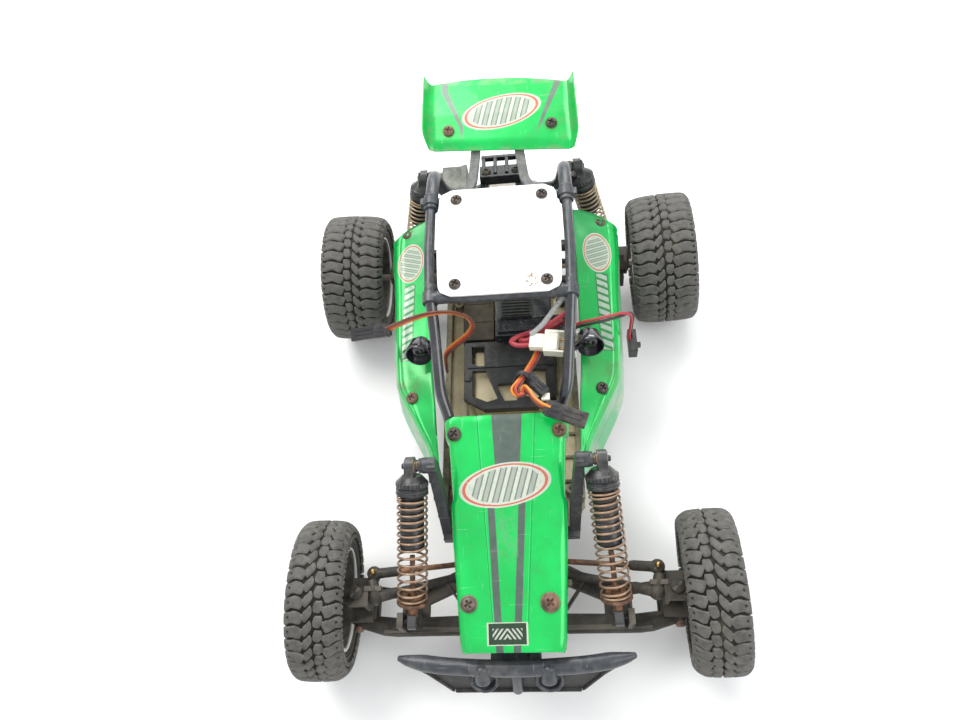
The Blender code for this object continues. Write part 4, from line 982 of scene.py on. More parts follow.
def tread(around, across, shoulder):
    """Height (1 on a lug) and pin-hole maps; across is signed arc length from the crown."""
    height = np.zeros(np.broadcast(around, across).shape)
    pin = np.zeros_like(height)
    for side in (-1, 1):
        lean = -side
        out = across * side
        offset = 0.0 if side < 0 else 0.5
        # long lugs from near the crown to the shoulder
        wave = 0.55 * np.sin(out * 0.62 + (0.6 if side < 0 else 2.1)) + 0.04 * (out - 8) * lean
        along = cell(around + wave, offset) * LUG_PITCH
        half = (LUG_PITCH / 2 - 0.46 + 0.16 * np.sin(out * 0.95 + 1.0)
                - 0.5 * smooth01((6.6 - out) / 1.6))
        phase = np.cos(2 * math.pi * cell(around, offset))
        inner = 4.75 - 0.55 * phase + 0.5 * (along / LUG_PITCH)
        depth = np.minimum(half - np.abs(along), np.minimum(out - inner, shoulder + 1.3 - out))
        height = np.maximum(height, smooth01(depth / 0.34))
        hole = np.hypot(along + 0.3, out - (shoulder - 2.6))
        pin = np.maximum(pin, 1 - smooth01((hole - 0.42) / 0.28))
        # short teeth on the shoulder, two to a pitch
        tooth = (around / (LUG_PITCH / 2) + offset + 0.25 + 0.5) % 1.0 - 0.5
        depth = np.minimum(LUG_PITCH / 4 - 0.42 - np.abs(tooth * LUG_PITCH / 2),
                           np.minimum(out - (shoulder + 2.1), shoulder + 4.6 + 0.5 * phase - out))
        height = np.maximum(height, 0.80 * smooth01(depth / 0.4))
        hole = np.hypot(tooth * LUG_PITCH / 2, out - (shoulder + 3.3))
        pin = np.maximum(pin, (1 - smooth01((hole - 0.25) / 0.22)) * 0.8)
        # side wall with fine rings
        wall = smooth01((out - (shoulder + 5.2)) / 0.6)
        height = np.maximum(height, wall * (0.42 + 0.12 * np.sin(out * 4.2)))
        # leaning bean-shaped blocks beside the crown
        bean = cell(around + (0.55 * (out - 2.5)) * lean, offset + 0.27) * LUG_PITCH
        reach = ((np.abs(out - 2.45) / 2.28) ** 2.6
                 + (np.abs(bean + 0.55 * np.sin(out * 1.4)) / 3.0) ** 2.4)
        height = np.maximum(height, smooth01((1.12 - reach) / 0.45))
    return height, pin


def build_tyre(axle, side, sign, x0, x1, phase, flip):
    name = f"tyre_{axle}_{side}"
    half = (x1 - x0) / 2
    outline = ([(-half + inset, radius) for inset, radius in INNER_WALL]
               + [(-half * 0.5, 38.6), (0, TYRE_R), (half * 0.5, 38.85)]
               + [(half - inset, radius) for inset, radius in OUTER_WALL[::-1]])
    curve = np.array([(p.x, p.y) for p in catmull([(v, r, 0) for v, r in outline], 10)])
    arc = np.r_[0, np.cumsum(np.hypot(*np.diff(curve, axis=0).T))]
    length = arc[-1]
    steps = int(length / 0.40)
    stations = np.linspace(0, length, steps + 1)
    offset = np.interp(stations, arc, curve[:, 0])
    radius = np.interp(stations, arc, curve[:, 1])
    from_crown = stations - length / 2
    # outward normal of the section
    normal_v, normal_r = -np.gradient(radius, stations), np.gradient(offset, stations)
    size = np.hypot(normal_v, normal_r)
    normal_v, normal_r = normal_v / size, normal_r / size
    outward = np.sign((offset * normal_v + (radius - 30) * normal_r).mean())
    normal_v, normal_r = normal_v * outward, normal_r * outward

    count = LUGS * 18
    theta = np.arange(count) / count * 2 * math.pi
    around = (theta * TYRE_R)[:, None] + phase
    across = from_crown[None, :] * flip
    height, pin = tread(around, across, half + 0.2)
    # uneven wear, lug by lug
    lug = (around / LUG_PITCH).astype(int)
    wear = (np.sin(lug * 12.9898 + np.sign(across) * 4.1) * 43758.5453) % 1.0
    raised = -GROOVE_DEPTH * (1 - height) - 1.3 * pin * (height > 0.5) - 0.12 * wear * height
    fade = smooth01((length / 2 - np.abs(from_crown)) / 2.0)[None, :]
    raised = raised * fade + (1 - fade) * -0.6

    centre_x = sign * (x0 + x1) / 2
    # (offset, radius) of the plain inside, outer bead to inner bead
    inside = ((half - 1.6, 25.6), (half - 4.0, 25.7), (half - 3.4, 32.0), (-half + 3.4, 32.0),
              (-half + 5.6, 27.5), (-half + 4.9, 25.6))
    v = np.column_stack([offset[None, :] + normal_v[None, :] * raised]
                        + [np.full(count, p[0]) for p in inside])
    r = np.column_stack([radius[None, :] + normal_r[None, :] * raised]
                        + [np.full(count, p[1]) for p in inside])
    x = centre_x + sign * v
    y = AXLE_Y[axle] + r * np.cos(theta)[:, None]
    z = AXLE_Z + r * np.sin(theta)[:, None]
    columns = x.shape[1]
    x, z = lean_xz(axle, sign, x, z)
    points = np.stack([x, y + Y_SHIFT, z], -1).reshape(-1, 3) * MM
    i = np.arange(count)[:, None]
    j = np.arange(columns)[None, :]
    i2, j2 = (i + 1) % count, (j + 1) % columns
    corners = (i * columns + j, i2 * columns + j, i2 * columns + j2, i * columns + j2)
    faces = np.stack(corners, -1).reshape(-1, 4)
    if sign < 0:
        faces = faces[:, ::-1]
    mesh = bpy.data.meshes.new(name)
    mesh.vertices.add(len(points))
    mesh.vertices.foreach_set("co", points.ravel())
    mesh.loops.add(faces.size)
    mesh.loops.foreach_set("vertex_index", faces.ravel())
    mesh.polygons.add(len(faces))
    mesh.polygons.foreach_set("loop_start", np.arange(len(faces)) * 4)
    mesh.update(calc_edges=True)
    mesh.validate()
    # the inside has a fixed height and no pins
    for key, values, fill in (("h", height, 0.4), ("pin", pin * (height > 0.4), 0.0)):
        values = np.column_stack([values] + [np.full(count, fill)] * len(inside))
        attribute = mesh.attributes.new(key, "FLOAT", "POINT")
        attribute.data.foreach_set("value", values.astype(np.float32).ravel())
    add_object(mesh, name, "rubber", f"{axle}_tyre_{side}", True, f"{axle}_wheel_{side}",
               smooth=None)


for side, sign in SIDES:
    build_tyre("front", side, sign, 81.5, 109.5, phase=1.3 if sign > 0 else 0.2, flip=1)
    build_tyre("rear", side, sign, 75.0, 113.0, phase=0.7 if sign > 0 else 2.9, flip=-1)


# ================================================================= rims
def rim(part, sign, x0, x1, y, disc, bore):
    """Barrel from x0 to x1 with rolled lips, a web at disc, spokes outside and ribs inside."""
    part.ring([
        (x0 + 3.4, 23.6), (x0 + 3.1, 24.0), (x0 + 3.0, 24.9), (x0 + 3.5, 25.5), (x0 + 4.8, 25.5),
        (x0 + 5.6, 24.6), (x1 - 3.2, 24.6), (x1 - 2.4, 25.5), (x1 - 0.9, 25.5), (x1 - 0.4, 24.9),
        (x1 - 0.5, 23.9), (x1 - 1.4, 23.3), (disc + 1.6, 22.9), (disc + 0.4, 22.2),
        (disc + 0.2, 21.2), (disc + 1.0, 9.6), (disc + 2.2, 7.4), (disc + 2.4, 4.6),
        (disc + 2.5, bore), (disc - 8.3, bore), (disc - 8.3, 6.1), (disc - 7.6, 6.5),
        (disc - 1.6, 6.9), (disc - 1.4, 9.0), (disc - 2.4, 21.2), (disc - 3.4, 22.2),
        (x0 + 4.4, 22.8)], (0, y, AXLE_Z), (sign, 0, 0), 72)

    def bar(angle, radius, base, top, base_half, top_half):
        """Section of a radial bar."""
        cos, sin = math.cos(angle), math.sin(angle)
        return [(sign * x, y + radius * cos - sin * across, AXLE_Z + radius * sin + cos * across)
                for x, across in ((base, -base_half), (top, -top_half), (top, top_half),
                                  (base, base_half))]

    for k in range(6):
        angle = 2 * math.pi * k / 6 + 0.3
        for turn in (-0.16, 0.16):
            sections = []
            for radius, rise in ((7.5, 2.4), (11.0, 1.5), (16.0, 1.5), (21.6, 1.0)):
                half = 1.5 * (1.0 + 0.35 * (radius - 7.5) / 14)
                sections.append(bar(angle + turn * (radius / 12.0) ** 0.3, radius, disc - 0.2,
                                    disc + 0.5 + rise, half, half * 0.75))
            part.loft(sections)
        part.loft([bar(angle + math.pi / 6, radius, disc - 1.2, disc - depth, 0.7, 0.6)
                   for radius, depth in ((6.6, 6.5), (21.8, 3.4))])


def wheel_nut(part, sign, y, disc):
    """Flanged hexagonal nut and the end of the axle."""
    base = sign * (disc + 2.4)
    centre, axis = (base, y, AXLE_Z), (sign, 0, 0)
    part.lathe([(0, 0), (0, 4.3), (0.5, 4.5), (0.7, 3.6)], centre, axis, 40)
    part.loft([[(base + sign * along, y + radius * math.cos(math.pi / 3 * k),
                 AXLE_Z + radius * math.sin(math.pi / 3 * k)) for k in range(6)]
               for along, radius in ((0.6, 3.6), (3.0, 3.6), (3.4, 3.1))])
    part.lathe([(3.2, 2.6), (3.7, 2.5), (3.9, 1.7)], centre, axis, 24)
    part.lathe([(3.3, 0), (3.3, 1.45), (4.5, 1.45), (4.9, 1.1), (4.9, 0)], centre, axis, 24)


def stub_axle(part, sign, y, disc):
    start, radius = 66.6, 1.9
    part.lathe([(start, 0), (start, radius * 0.85), (start + 0.4, radius), (disc - 8.5, radius),
                (disc - 8.4, 3.4), (disc - 6.0, 3.4), (disc - 6.0, 0)],
               (0, y, AXLE_Z), (sign, 0, 0), 32)


def build_rim(axle, side, sign, x0, x1, disc, bore):
    wheel = f"{axle}_wheel_{side}"
    y = AXLE_Y[axle]

    def wheel_part(name, build, material, bevel, **options):
        solid(f"{name}_{axle}_{side}", leaning(axle, sign, build), material, wheel, body=wheel,
              bevel=bevel, **options)

    wheel_part("rim", partial(rim, sign=sign, x0=x0, x1=x1, y=y, disc=disc, bore=bore), "rim",
               0.3, replaces=True)
    wheel_part("wheel_nut", partial(wheel_nut, sign=sign, y=y, disc=disc), "screw", 0.15,
               segments=1, smooth=35)
    if axle == "rear":
        wheel_part("stub_axle", partial(stub_axle, sign=sign, y=y, disc=disc), "steel", 0.1,
                   segments=1, smooth=35)


for side, sign in SIDES:
    build_rim("front", side, sign, 81.5, 109.5, disc=100.0, bore=2.6)
    build_rim("rear", side, sign, 75.0, 113.0, disc=103.0, bore=1.6)


# ================================================================= sheet panels
def sheet(node, material, sections, thick=0.9):
    """Open grid thickened downwards, with a rounded rim."""
    part = Part()
    part.grid(sections)
    part.move_to_world()
    part.bm.normal_update()
    if sum(face.normal.z * face.calc_area() for face in part.bm.faces) < 0:
        bmesh.ops.reverse_faces(part.bm, faces=part.bm.faces)
    obj = add_object(part.mesh(), "v_" + node, material, node, True, smooth=None)
    solidify = obj.modifiers.new("thick", "SOLIDIFY")
    solidify.thickness = thick * MM
    solidify.offset = -1
    add_bevel(obj, 0.28, angle=60)


def dent(x, y, phase=0.0):
    return (0.10 * math.sin(x * 0.23 + y * 0.11 + phase)
            + 0.08 * math.sin(y * 0.19 - x * 0.13 + 1.7 + phase)
            + 0.05 * math.sin(x * 0.51 + y * 0.37 + phase))


# ---- nose
NOSE_Y = (-129.8, -129.2, -128.0, -124, -120, -115, -110, -105, -100, -95, -90, -85, -80, -76,
          -72, -68, -65.5, -63.5, -61.5, -59, -56, -52, -48, -44, -40, -36, -33.4, -32.2, -31,
          -28, -25, -23, -21.8, -21.2)
FLANGE_Y = (-129.5, -110, -95, -75, -50, -30, -21)
FLANGE_DROP = (3.6, 4.6, 5.2, 8.0, 8.0, 9.0, 9.0)


def nose_half_width(y):
    """Half width, stepped in beside the shock towers."""
    base = 24.0 + 7.0 * (y + 129.5) / 108.5
    notch = 1.5 * smooth01((-y - 31.5) / 1.6) * smooth01((y + 64.5) / 4.0)
    return base + 0.4 - float(notch)


def nose_height(y):
    return 58.0 + 24.0 * (y + 129.5) / 108.5


def nose_section(y):
    half, z = nose_half_width(y), nose_height(y)
    drop = float(np.interp(y, FLANGE_Y, FLANGE_DROP))
    if y > -24.0:
        half -= 2.4 * ((y + 24.0) / 2.8) ** 2.2
    if y < -126.5:
        half -= 1.4 * ((-126.5 - y) / 3.3) ** 2
    z -= 0.35 * smooth01((y + 22.8) / 1.2) + 0.5 * float(smooth01((-128.6 - y) / 1.2))
    points = [Vector(p) for p in (
        (-half, z - drop), (-half + 0.1, z - 1.8), (-half + 2.6, z),
        (half - 2.6, z), (half - 0.1, z - 1.8), (half, z - drop))]
    row = [points[0], (points[0] + points[1]) / 2]
    row += arc_corner(*points[0:3], 1.0, 3) + arc_corner(*points[1:4], 2.2, 4)
    row += [points[2].lerp(points[3], 0.045 + 0.91 * k / 24) for k in range(1, 24)]
    row += arc_corner(*points[2:5], 2.2, 4) + arc_corner(*points[3:6], 1.0, 3)
    row += [(points[4] + points[5]) / 2, points[5]]
    along = (y + 21) / -96.0
    right = -CREASE_X + along * CREASE_CLOSING["right"]
    left = CREASE_X - along * CREASE_CLOSING["left"]
    section = []
    for p in row:
        height = p.y
        if abs(p.x) < half - 3:
            between = smooth01((p.x - right) / 1.2) * smooth01((left - p.x) / 1.2)
            height += dent(p.x, y) + 0.35 * float(between)
        section.append((p.x, y, height))
    return section


sheet("nose_panel", "nose_green", [nose_section(y) for y in NOSE_Y])
for x, y, material, washer in ((-26.0, -30.2, "screw", 0), (26.2, -30.2, "screw_rust", 0),
                               (-20.1, -108.9, "screw", 4.1), (17.9, -108.9, "screw_rust", 4.6)):
    screw((x, y, nose_height(y) + 0.3), (0, -0.21, 0.98), material, radius=3.5, height=2.0,
          spin=0.2 + x, washer=washer)

# ---- side panels: y, then x and z of the inner edge, the outer edge and the wall's foot
SIDE_STATIONS = np.array((
    (-46.0, 35.6, 64.5, 37.6, 64.0, 40.6, 34.0), (-30.0, 36.6, 68.0, 42.0, 66.0, 46.0, 35.0),
    (-6.0, 38.0, 72.0, 54.5, 67.5, 58.5, 37.0), (4.0, 39.0, 74.0, 59.5, 69.0, 63.0, 39.0),
    (20.0, 40.0, 76.5, 61.0, 70.5, 64.4, 42.0), (60.0, 40.5, 78.5, 63.0, 72.5, 66.2, 50.0),
    (71.0, 40.6, 79.0, 63.8, 73.0, 66.2, 56.0), (82.0, 40.7, 79.4, 64.6, 73.4, 66.0, 70.2),
    (95.0, 40.8, 79.8, 65.0, 74.0, 66.4, 71.0), (104.0, 40.8, 80.2, 62.0, 75.5, 63.6, 72.6),
    (109.0, 40.8, 80.5, 46.5, 79.5, 47.2, 77.0)))
SIDE_Y = [*np.linspace(-46, -10, 14), *np.linspace(-8, 10, 10), *np.linspace(13, 88, 26),
          *np.linspace(90, 103, 9), 104.5, 106, 107.4, 108.4, 109.0]


def side_at(y):
    return [float(np.interp(y, SIDE_STATIONS[:, 0], SIDE_STATIONS[:, k])) for k in range(1, 7)]


def smooth_side(y):
    """Stations averaged over a few millimetres, to round the corners in plan."""
    total = np.zeros(6)
    for offset, weight in ((-3.0, 1), (-1.5, 2), (0, 3), (1.5, 2), (3.0, 1)):
        total += weight * np.array(side_at(min(109.0, max(-46.0, y + offset))))
    return total / 9


def side_section(y, sign):
    inner_x, inner_z, outer_x, outer_z, foot_x, foot_z = (
        smooth_side(y) if 60 > y > -44 else side_at(y))
    if y > 98:
        # the rear end closes inwards
        t = (y - 98) / 11.0
        outer_x = 65.0 - 18.5 * t ** 2.4
        foot_x = outer_x + 1.2
        outer_z = 74.2 + 5.2 * t ** 2.0
        foot_z = outer_z - 2.6
    points = [Vector(p) for p in (
        (inner_x, inner_z - 2.4), (inner_x + 0.1, inner_z), (outer_x - 1.8, outer_z + 0.35),
        (outer_x + 0.25, outer_z - 1.6), (foot_x, foot_z))]
    row = [points[0]] + arc_corner(*points[0:3], 0.9, 3)
    row += [points[1].lerp(points[2], 0.05 + 0.80 * k / 12) for k in range(1, 12)]
    # a low bead runs along the outer edge of the top
    bead = points[1].lerp(points[2], 0.90)
    crest = bead + Vector((0.5, 0.42))
    row += [bead + Vector((0, 0.12)), crest]
    row += arc_corner(crest, points[2] + Vector((0.3, 0.35)), points[3], 1.3, 4)
    row += arc_corner(*points[2:5], 1.2, 4)
    row += [points[3].lerp(points[4], 0.08 + 0.92 * k / 8) for k in range(1, 9)]
    section = []
    for i, p in enumerate(row):
        dz = dent(p.x * sign, y, 2.0 * sign) if 4 < i < 15 else 0.0
        dx = 0.8 * dent(p.y * 1.3, y, 5.0) if i > 26 else 0.0
        section.append((sign * (p.x + dx), y, p.y + dz))
    return section


for side, sign in SIDES:
    sheet("side_panel_" + side, "side_green_" + side, [side_section(y, sign) for y in SIDE_Y])
for x, y in ((-57.0, 102.2), (56.3, 101.4)):
    screw((x, y, 75.3), (0.2 * (1 if x > 0 else -1), 0.05, 0.97), "screw", radius=3.2,
          height=1.8, spin=x)
for x, y, material in ((-50.6, -3.4, "screw_rust"), (49.6, -3.0, "screw")):
    inner_x, inner_z, outer_x, outer_z, _, _ = side_at(y)
    z = inner_z + (outer_z - inner_z) * (abs(x) - inner_x) / (outer_x - inner_x) + 0.2
    screw((x, y, z), (0.22 * (1 if x > 0 else -1), -0.12, 0.96), material, radius=3.2,
          height=1.8, spin=x)


# ---- roof
ROOF_FRONT, ROOF_LENGTH, ROOF_CORNER = 32.0, 65.5, 6.0


def roof_z(y):
    return 111.0 + (y - 34) * ROOF_SLOPE


def roof_section(t):
    y = ROOF_FRONT + ROOF_LENGTH * t
    half = 32.4 - 1.4 * (2 * t - 1) ** 2
    for to_edge in (y - ROOF_FRONT, ROOF_FRONT + ROOF_LENGTH - y):
        if to_edge < ROOF_CORNER:
            run = ROOF_CORNER - to_edge
            half -= ROOF_CORNER - math.sqrt(max(0.0, ROOF_CORNER ** 2 - run ** 2))
    row = []
    for k in range(29):
        x = -half + 2 * half * k / 28
        crown = 0.6 * (1 - (x / 33) ** 2) * (1 - (2 * t - 1) ** 2)
        row.append((x, y, roof_z(y) + crown + 0.4 * dent(x, y, 3) - 0.25 * (k in (0, 28))))
    return row


sheet("roof_panel", "roof_white", [roof_section(i / 24) for i in range(25)], thick=1.3)
for x, y in ((-22.2, 90.6), (23.6, 90.6), (-22.6, 38.6), (24.2, 38.4)):
    screw((x, y, roof_z(y) + 0.3), (0, -ROOF_SLOPE, 1), "screw", radius=3.1, height=1.8,
          spin=x * 0.3)

# ---- wing: turned a little in plan, trailing edge bowed, low flared ends
WING_TURN = math.radians(4.6)
WING_X, WING_HALF = 2.2, 38.3


def wing_section(t):
    z = 115.9 + 10.5 * t + float(np.interp(t, [0, 0.1, 0.5, 1.0], [-1.8, 0.0, 0.9, 0.0]))
    end_rise = float(np.interp(t, [0, 0.06, 0.3, 1.0], [3.0, 5.4, 6.4, 5.6]))
    front_cut = (1 - t / 0.18) ** 1.6 if t < 0.18 else 0.0
    half = WING_HALF - 1.3 * front_cut
    row = []
    for k in range(37):
        x = -half + 2 * half * k / 36
        y = 126.5 + 40.5 * t + 4.0 * t * (1 - (x / WING_HALF) ** 2)
        row.append((x, y, z + 0.25 * dent(x, y, 6) + 0.2 * (1 - (x / WING_HALF) ** 2)))
    ends = {1: [], -1: []}
    end_rise *= 1 - 0.45 * front_cut
    tip = (43.2 - 1.2 * t) - 2.6 * front_cut
    end_y = 126.5 + 40.5 * t
    for k in range(1, 9):
        out = k / 8
        x = half + (tip - half) * out ** 0.8
        height = z + end_rise * out ** 1.5
        for sign, phase in ((1, 1), (-1, 2)):
            ends[sign].append((sign * x, end_y + (out if t > 0.93 else 0.0),
                               height + 0.2 * dent(height, end_y, phase)))
    cos, sin = math.cos(WING_TURN), math.sin(WING_TURN)
    return [(WING_X + x * cos, y - x * sin, z) for x, y, z in ends[-1][::-1] + row + ends[1]]


sheet("rear_wing", "wing_green", [wing_section(i / 26) for i in range(27)])
for x, y, material in ((-26.9, 139.3, "screw_rust"), (31.0, 138.2, "screw")):
    t = (y + (x - WING_X) * math.sin(WING_TURN) - 126.5) / 42.0
    screw((x, y, 116.7 + 10.5 * t), (0, -0.27, 0.96), material, radius=3.1, height=1.8, spin=x)


# ================================================================= roll cage
def rail_z(y):
    return 106.4 + (y - 36) * ROOF_SLOPE


def cage_rails(part):
    along = Vector((0, 1, ROOF_SLOPE)).normalized()
    for sign in (1, -1):
        part.tube(fillet([(sign * 36.0, 33.5, rail_z(33.5) - 0.3),
                          (sign * 36.6, 48.0, rail_z(48) + 0.4),
                          (sign * 37.0, 62.0, rail_z(60) + 0.6),
                          (sign * 36.7, 97.5, rail_z(97.5))], 10, 6), 2.75, 20)
        # rear collars with a lug on each side
        for y0, y1, radius in ((88.9, 91.3, 3.9), (91.3, 96.4, 4.5), (96.4, 98.2, 3.9)):
            length = y1 - y0
            part.lathe([(0, radius - 1.2), (0, radius - 0.3), (0.35, radius),
                        (length - 0.35, radius), (length, radius - 0.3), (length, radius - 1.2)],
                       (sign * 36.7, y0, rail_z(y0)), along, 28)
        part.box(*sorted((sign * 38.5, sign * 42.3)), 91.8, 96.0, rail_z(94) - 2.0,
                 rail_z(94) + 2.2)
        part.box(*sorted((sign * 32.4, sign * 35.0)), 92.0, 95.8, rail_z(94) - 1.7,
                 rail_z(94) + 1.4)
        # front elbow collars
        part.lathe([(0, 2.6), (0, 3.7), (0.4, 4.1), (6.3, 4.1), (6.7, 3.7), (6.7, 2.6)],
                   (sign * 36.0, 31.6, rail_z(31.6) - 0.9), along, 28)
        part.tube([(sign * 36.0, 38.5, rail_z(38)), (sign * 36.0, 41.0, rail_z(41))], 3.2, 20)
        part.lathe([(0, 2.6), (0, 3.35), (0.3, 3.6), (3.6, 3.6), (3.9, 3.35), (3.9, 2.6)],
                   (sign * 28.6, 35.0, rail_z(35) - 0.2), (sign, 0, 0), 28)
        # round pads under the roof screws
        for y in (90.8, 38.4):
            part.lathe([(0, 0), (0, 3.2), (2.6, 3.2), (2.6, 0)],
                       (sign * 23.4, y, rail_z(y) - 0.6), (0, 0, 1), 20)
    part.tube(fillet([(-36.0, 35.0, rail_z(35) - 0.2), (-20, 34.4, rail_z(35) - 0.4),
                      (20, 34.4, rail_z(35) - 0.4), (36.0, 35.0, rail_z(35) - 0.2)], 8, 5),
              3.2, 22)
    part.tube([(-36.6, 95.0, rail_z(95) - 1.2), (-12, 95.2, rail_z(95) - 1.3),
               (12, 95.2, rail_z(95) - 1.3), (36.6, 95.0, rail_z(95) - 1.2)], 2.4, 20)
    for sign in (1, -1):
        part.tube([(sign * 23.4, 93, rail_z(93) - 1.5), (sign * 23.4, 88.5, rail_z(90) - 1.0)],
                  1.6, 14)
        part.tube([(sign * 23.4, 36, rail_z(36) - 0.6), (sign * 23.4, 40, rail_z(39) + 0.2)],
                  1.6, 14)


def cage_front_tubes(part):
    """The left tube stands further in than the right."""
    for sign, inset in ((1, 1.0), (-1, 0.0)):
        part.tube(fillet([
            (sign * 36.0, 38.5, rail_z(38) + 0.2), (sign * 35.9, 33.0, rail_z(36) - 1.0),
            (sign * 35.1, 25.5, 100.2), (sign * (33.0 - 1.6 * inset), -9, 83.6),
            (sign * (29.4 - 3.4 * inset), -19.0, 76.2), (sign * (27.8 - 3.4 * inset), -28, 69.6),
            (sign * (27.0 - 3.5 * inset), -42, 60.5)], 5.5, 6), 2.95, 24)


def lamp_axis(sign):
    """Rear point of a lamp and its forward direction."""
    rear = Vector((sign * 43.7, 23.6, 84.0))
    return rear, (Vector((sign * 44.6, 11.9, 87.3)) - rear).normalized()


def lamps(part):
    for sign in (1, -1):
        part.tube(catmull([(sign * 33.4, 9.0, 90.0), (sign * 36.5, 12.5, 87.4),
                           (sign * 40.0, 16.5, 85.2)], 5), 1.9, 14)
        rear, forward = lamp_axis(sign)
        part.lathe([(0.0, 0.0), (0.0, 2.9), (0.8, 3.7), (2.2, 4.1), (3.0, 4.6), (3.1, 5.3),
                    (6.8, 6.3), (9.2, 6.75), (11.6, 6.95), (12.3, 6.75), (12.4, 6.2),
                    (11.2, 5.9), (8.8, 5.3), (7.6, 3.6), (7.3, 0.0)], rear, forward, 44)
        part.lathe([(3.6, 4.9), (3.7, 5.75), (4.3, 5.85), (4.4, 5.0)], rear, forward, 40)


def lamp_lenses(part):
    for sign in (1, -1):
        part.lathe([(8.2, 0.0), (8.2, 5.0), (9.0, 5.05), (9.5, 4.5), (10.1, 3.4), (10.5, 1.8),
                    (10.65, 0.0)], *lamp_axis(sign), 44)


def wing_struts(part):
    route = ((27.5, 94.2, 106.6), (14.8, 109.2, 105.8), (12.1, 131.0, 111.2),
             (12.1, 140.0, 115.3), (12.1, 147.0, 118.6))
    for sign in (1, -1):
        path = [Vector(mirrored(p, sign)) for p in fillet(route, 5, 4)]
        last = len(path) - 1
        sections = []
        for i, centre in enumerate(path):
            along = (path[min(i + 1, last)] - path[max(i - 1, 0)]).normalized()
            across = Vector((0, 0, 1)).cross(along).normalized()
            up = along.cross(across).normalized()
            half = 2.6 if i < last - 2 else 3.0
            sections.append([centre + across * (half * right) + up * (1.6 * above)
                             for right, above in ((-1, -1), (1, -1), (1, 1), (-1, 1))])
        part.loft(sections)
        part.lathe([(0, 0), (0, 2.9), (4.0, 3.2), (4.2, 0)], (sign * 27.5, 94.6, 103.6),
                   (0, 0, 1), 24)


solid("v_cage_rails", cage_rails, "cage", "roll_cage", True, bevel=0.3, smooth=45)
solid("v_cage_front_tubes", cage_front_tubes, "cage_gloss", "roll_cage", bevel=0, smooth=60)
solid("v_lamps", lamps, "cage_gloss", "roll_cage", bevel=0, smooth=42)
solid("v_lamp_lenses", lamp_lenses, "lamp", "roll_cage", bevel=0, smooth=50)
solid("v_wing_struts", wing_struts, "strut", "roll_cage", bevel=0.55, segments=3)


# ================================================================= rear tower
def rear_posts(part):
    _, top_y, top_z = SHOCK_TOP["rear"]
    for sign in (1, -1):
        part.tube(fillet([
            (sign * 36.7, 97.9, 110.4), (sign * 36.8, 115.5, 107.0), (sign * 36.7, 121.0, 103.4),
            (sign * 36.3, 124.2, 96.0), (sign * 35.0, 126.5, 86.0), (sign * 31.0, 128, 79.6),
            (sign * 16.0, 130.5, 77.0), (sign * 10.5, 134.5, 76.4)], 6, 6), 3.6, 24)
        part.tube([(sign * 35.6, top_y - 2.0, top_z + 0.6), (sign * 41.0, top_y, top_z)],
                  3.35, 20)
        part.lathe([(0, 0), (0, 1.5), (9.6, 1.5), (9.8, 1.2), (9.8, 0)],
                   (sign * 39, top_y, top_z), (sign, 0, 0), 16)


def slanted_bar(part, x0, x1, low, high):
    """Bar between two outlines of (y, z) pairs: (near y, far y, z) or four pairs each."""
    part.loft([[(x0, y0, z), (x1, y0, z), (x1, y1, z), (x0, y1, z)]
               for y0, y1, z in (low, high)])


def rear_brace(part):
    part.box(-13, 13, 116, 126, 60.4, 64)
    for x in (-13, 8):
        slanted_bar(part, x, x + 5, (118, 125.5, 61), (137, 142.5, 81))
        part.loft([[(x + 2, 118, 62), (x + 3, 118, 62), (x + 3, 118, 66), (x + 2, 118, 66)],
                   [(x + 2, 136, 80), (x + 3, 136, 80), (x + 3, 131, 82), (x + 2, 131, 82)]])
    for x in (-10.6, -3.6, 3.4, 10.4):
        part.box(x - 1.1, x + 1.1, 137.0, 151.0, 82.6, 86.2)
    part.box(-12.0, 12.0, 149.0, 151.4, 83.0, 86.4)
    part.box(-13.0, 13.0, 134.4, 143.8, 82.4, 85.2)
    part.box(-13.0, 13.0, 134.0, 136.0, 79.0, 86.0)
    for x in (-9.0, 9.0):
        part.lathe([(0, 0), (0, 2.8), (1.4, 2.8), (1.4, 0)], (x, 138.4, 84.8), (0, 0, 1), 24)


solid("v_rear_posts", rear_posts, "cage", "rear_shock_tower", True, bevel=0.5, segments=3,
      smooth=42)
solid("v_rear_brace", rear_brace, "black", "rear_shock_tower", bevel=0.4, smooth=42)
for x in (-9.0, 9.0):
    screw((x, 138.4, 86.0), (0, 0, 1), "screw", radius=2.5, height=1.4, spin=x)


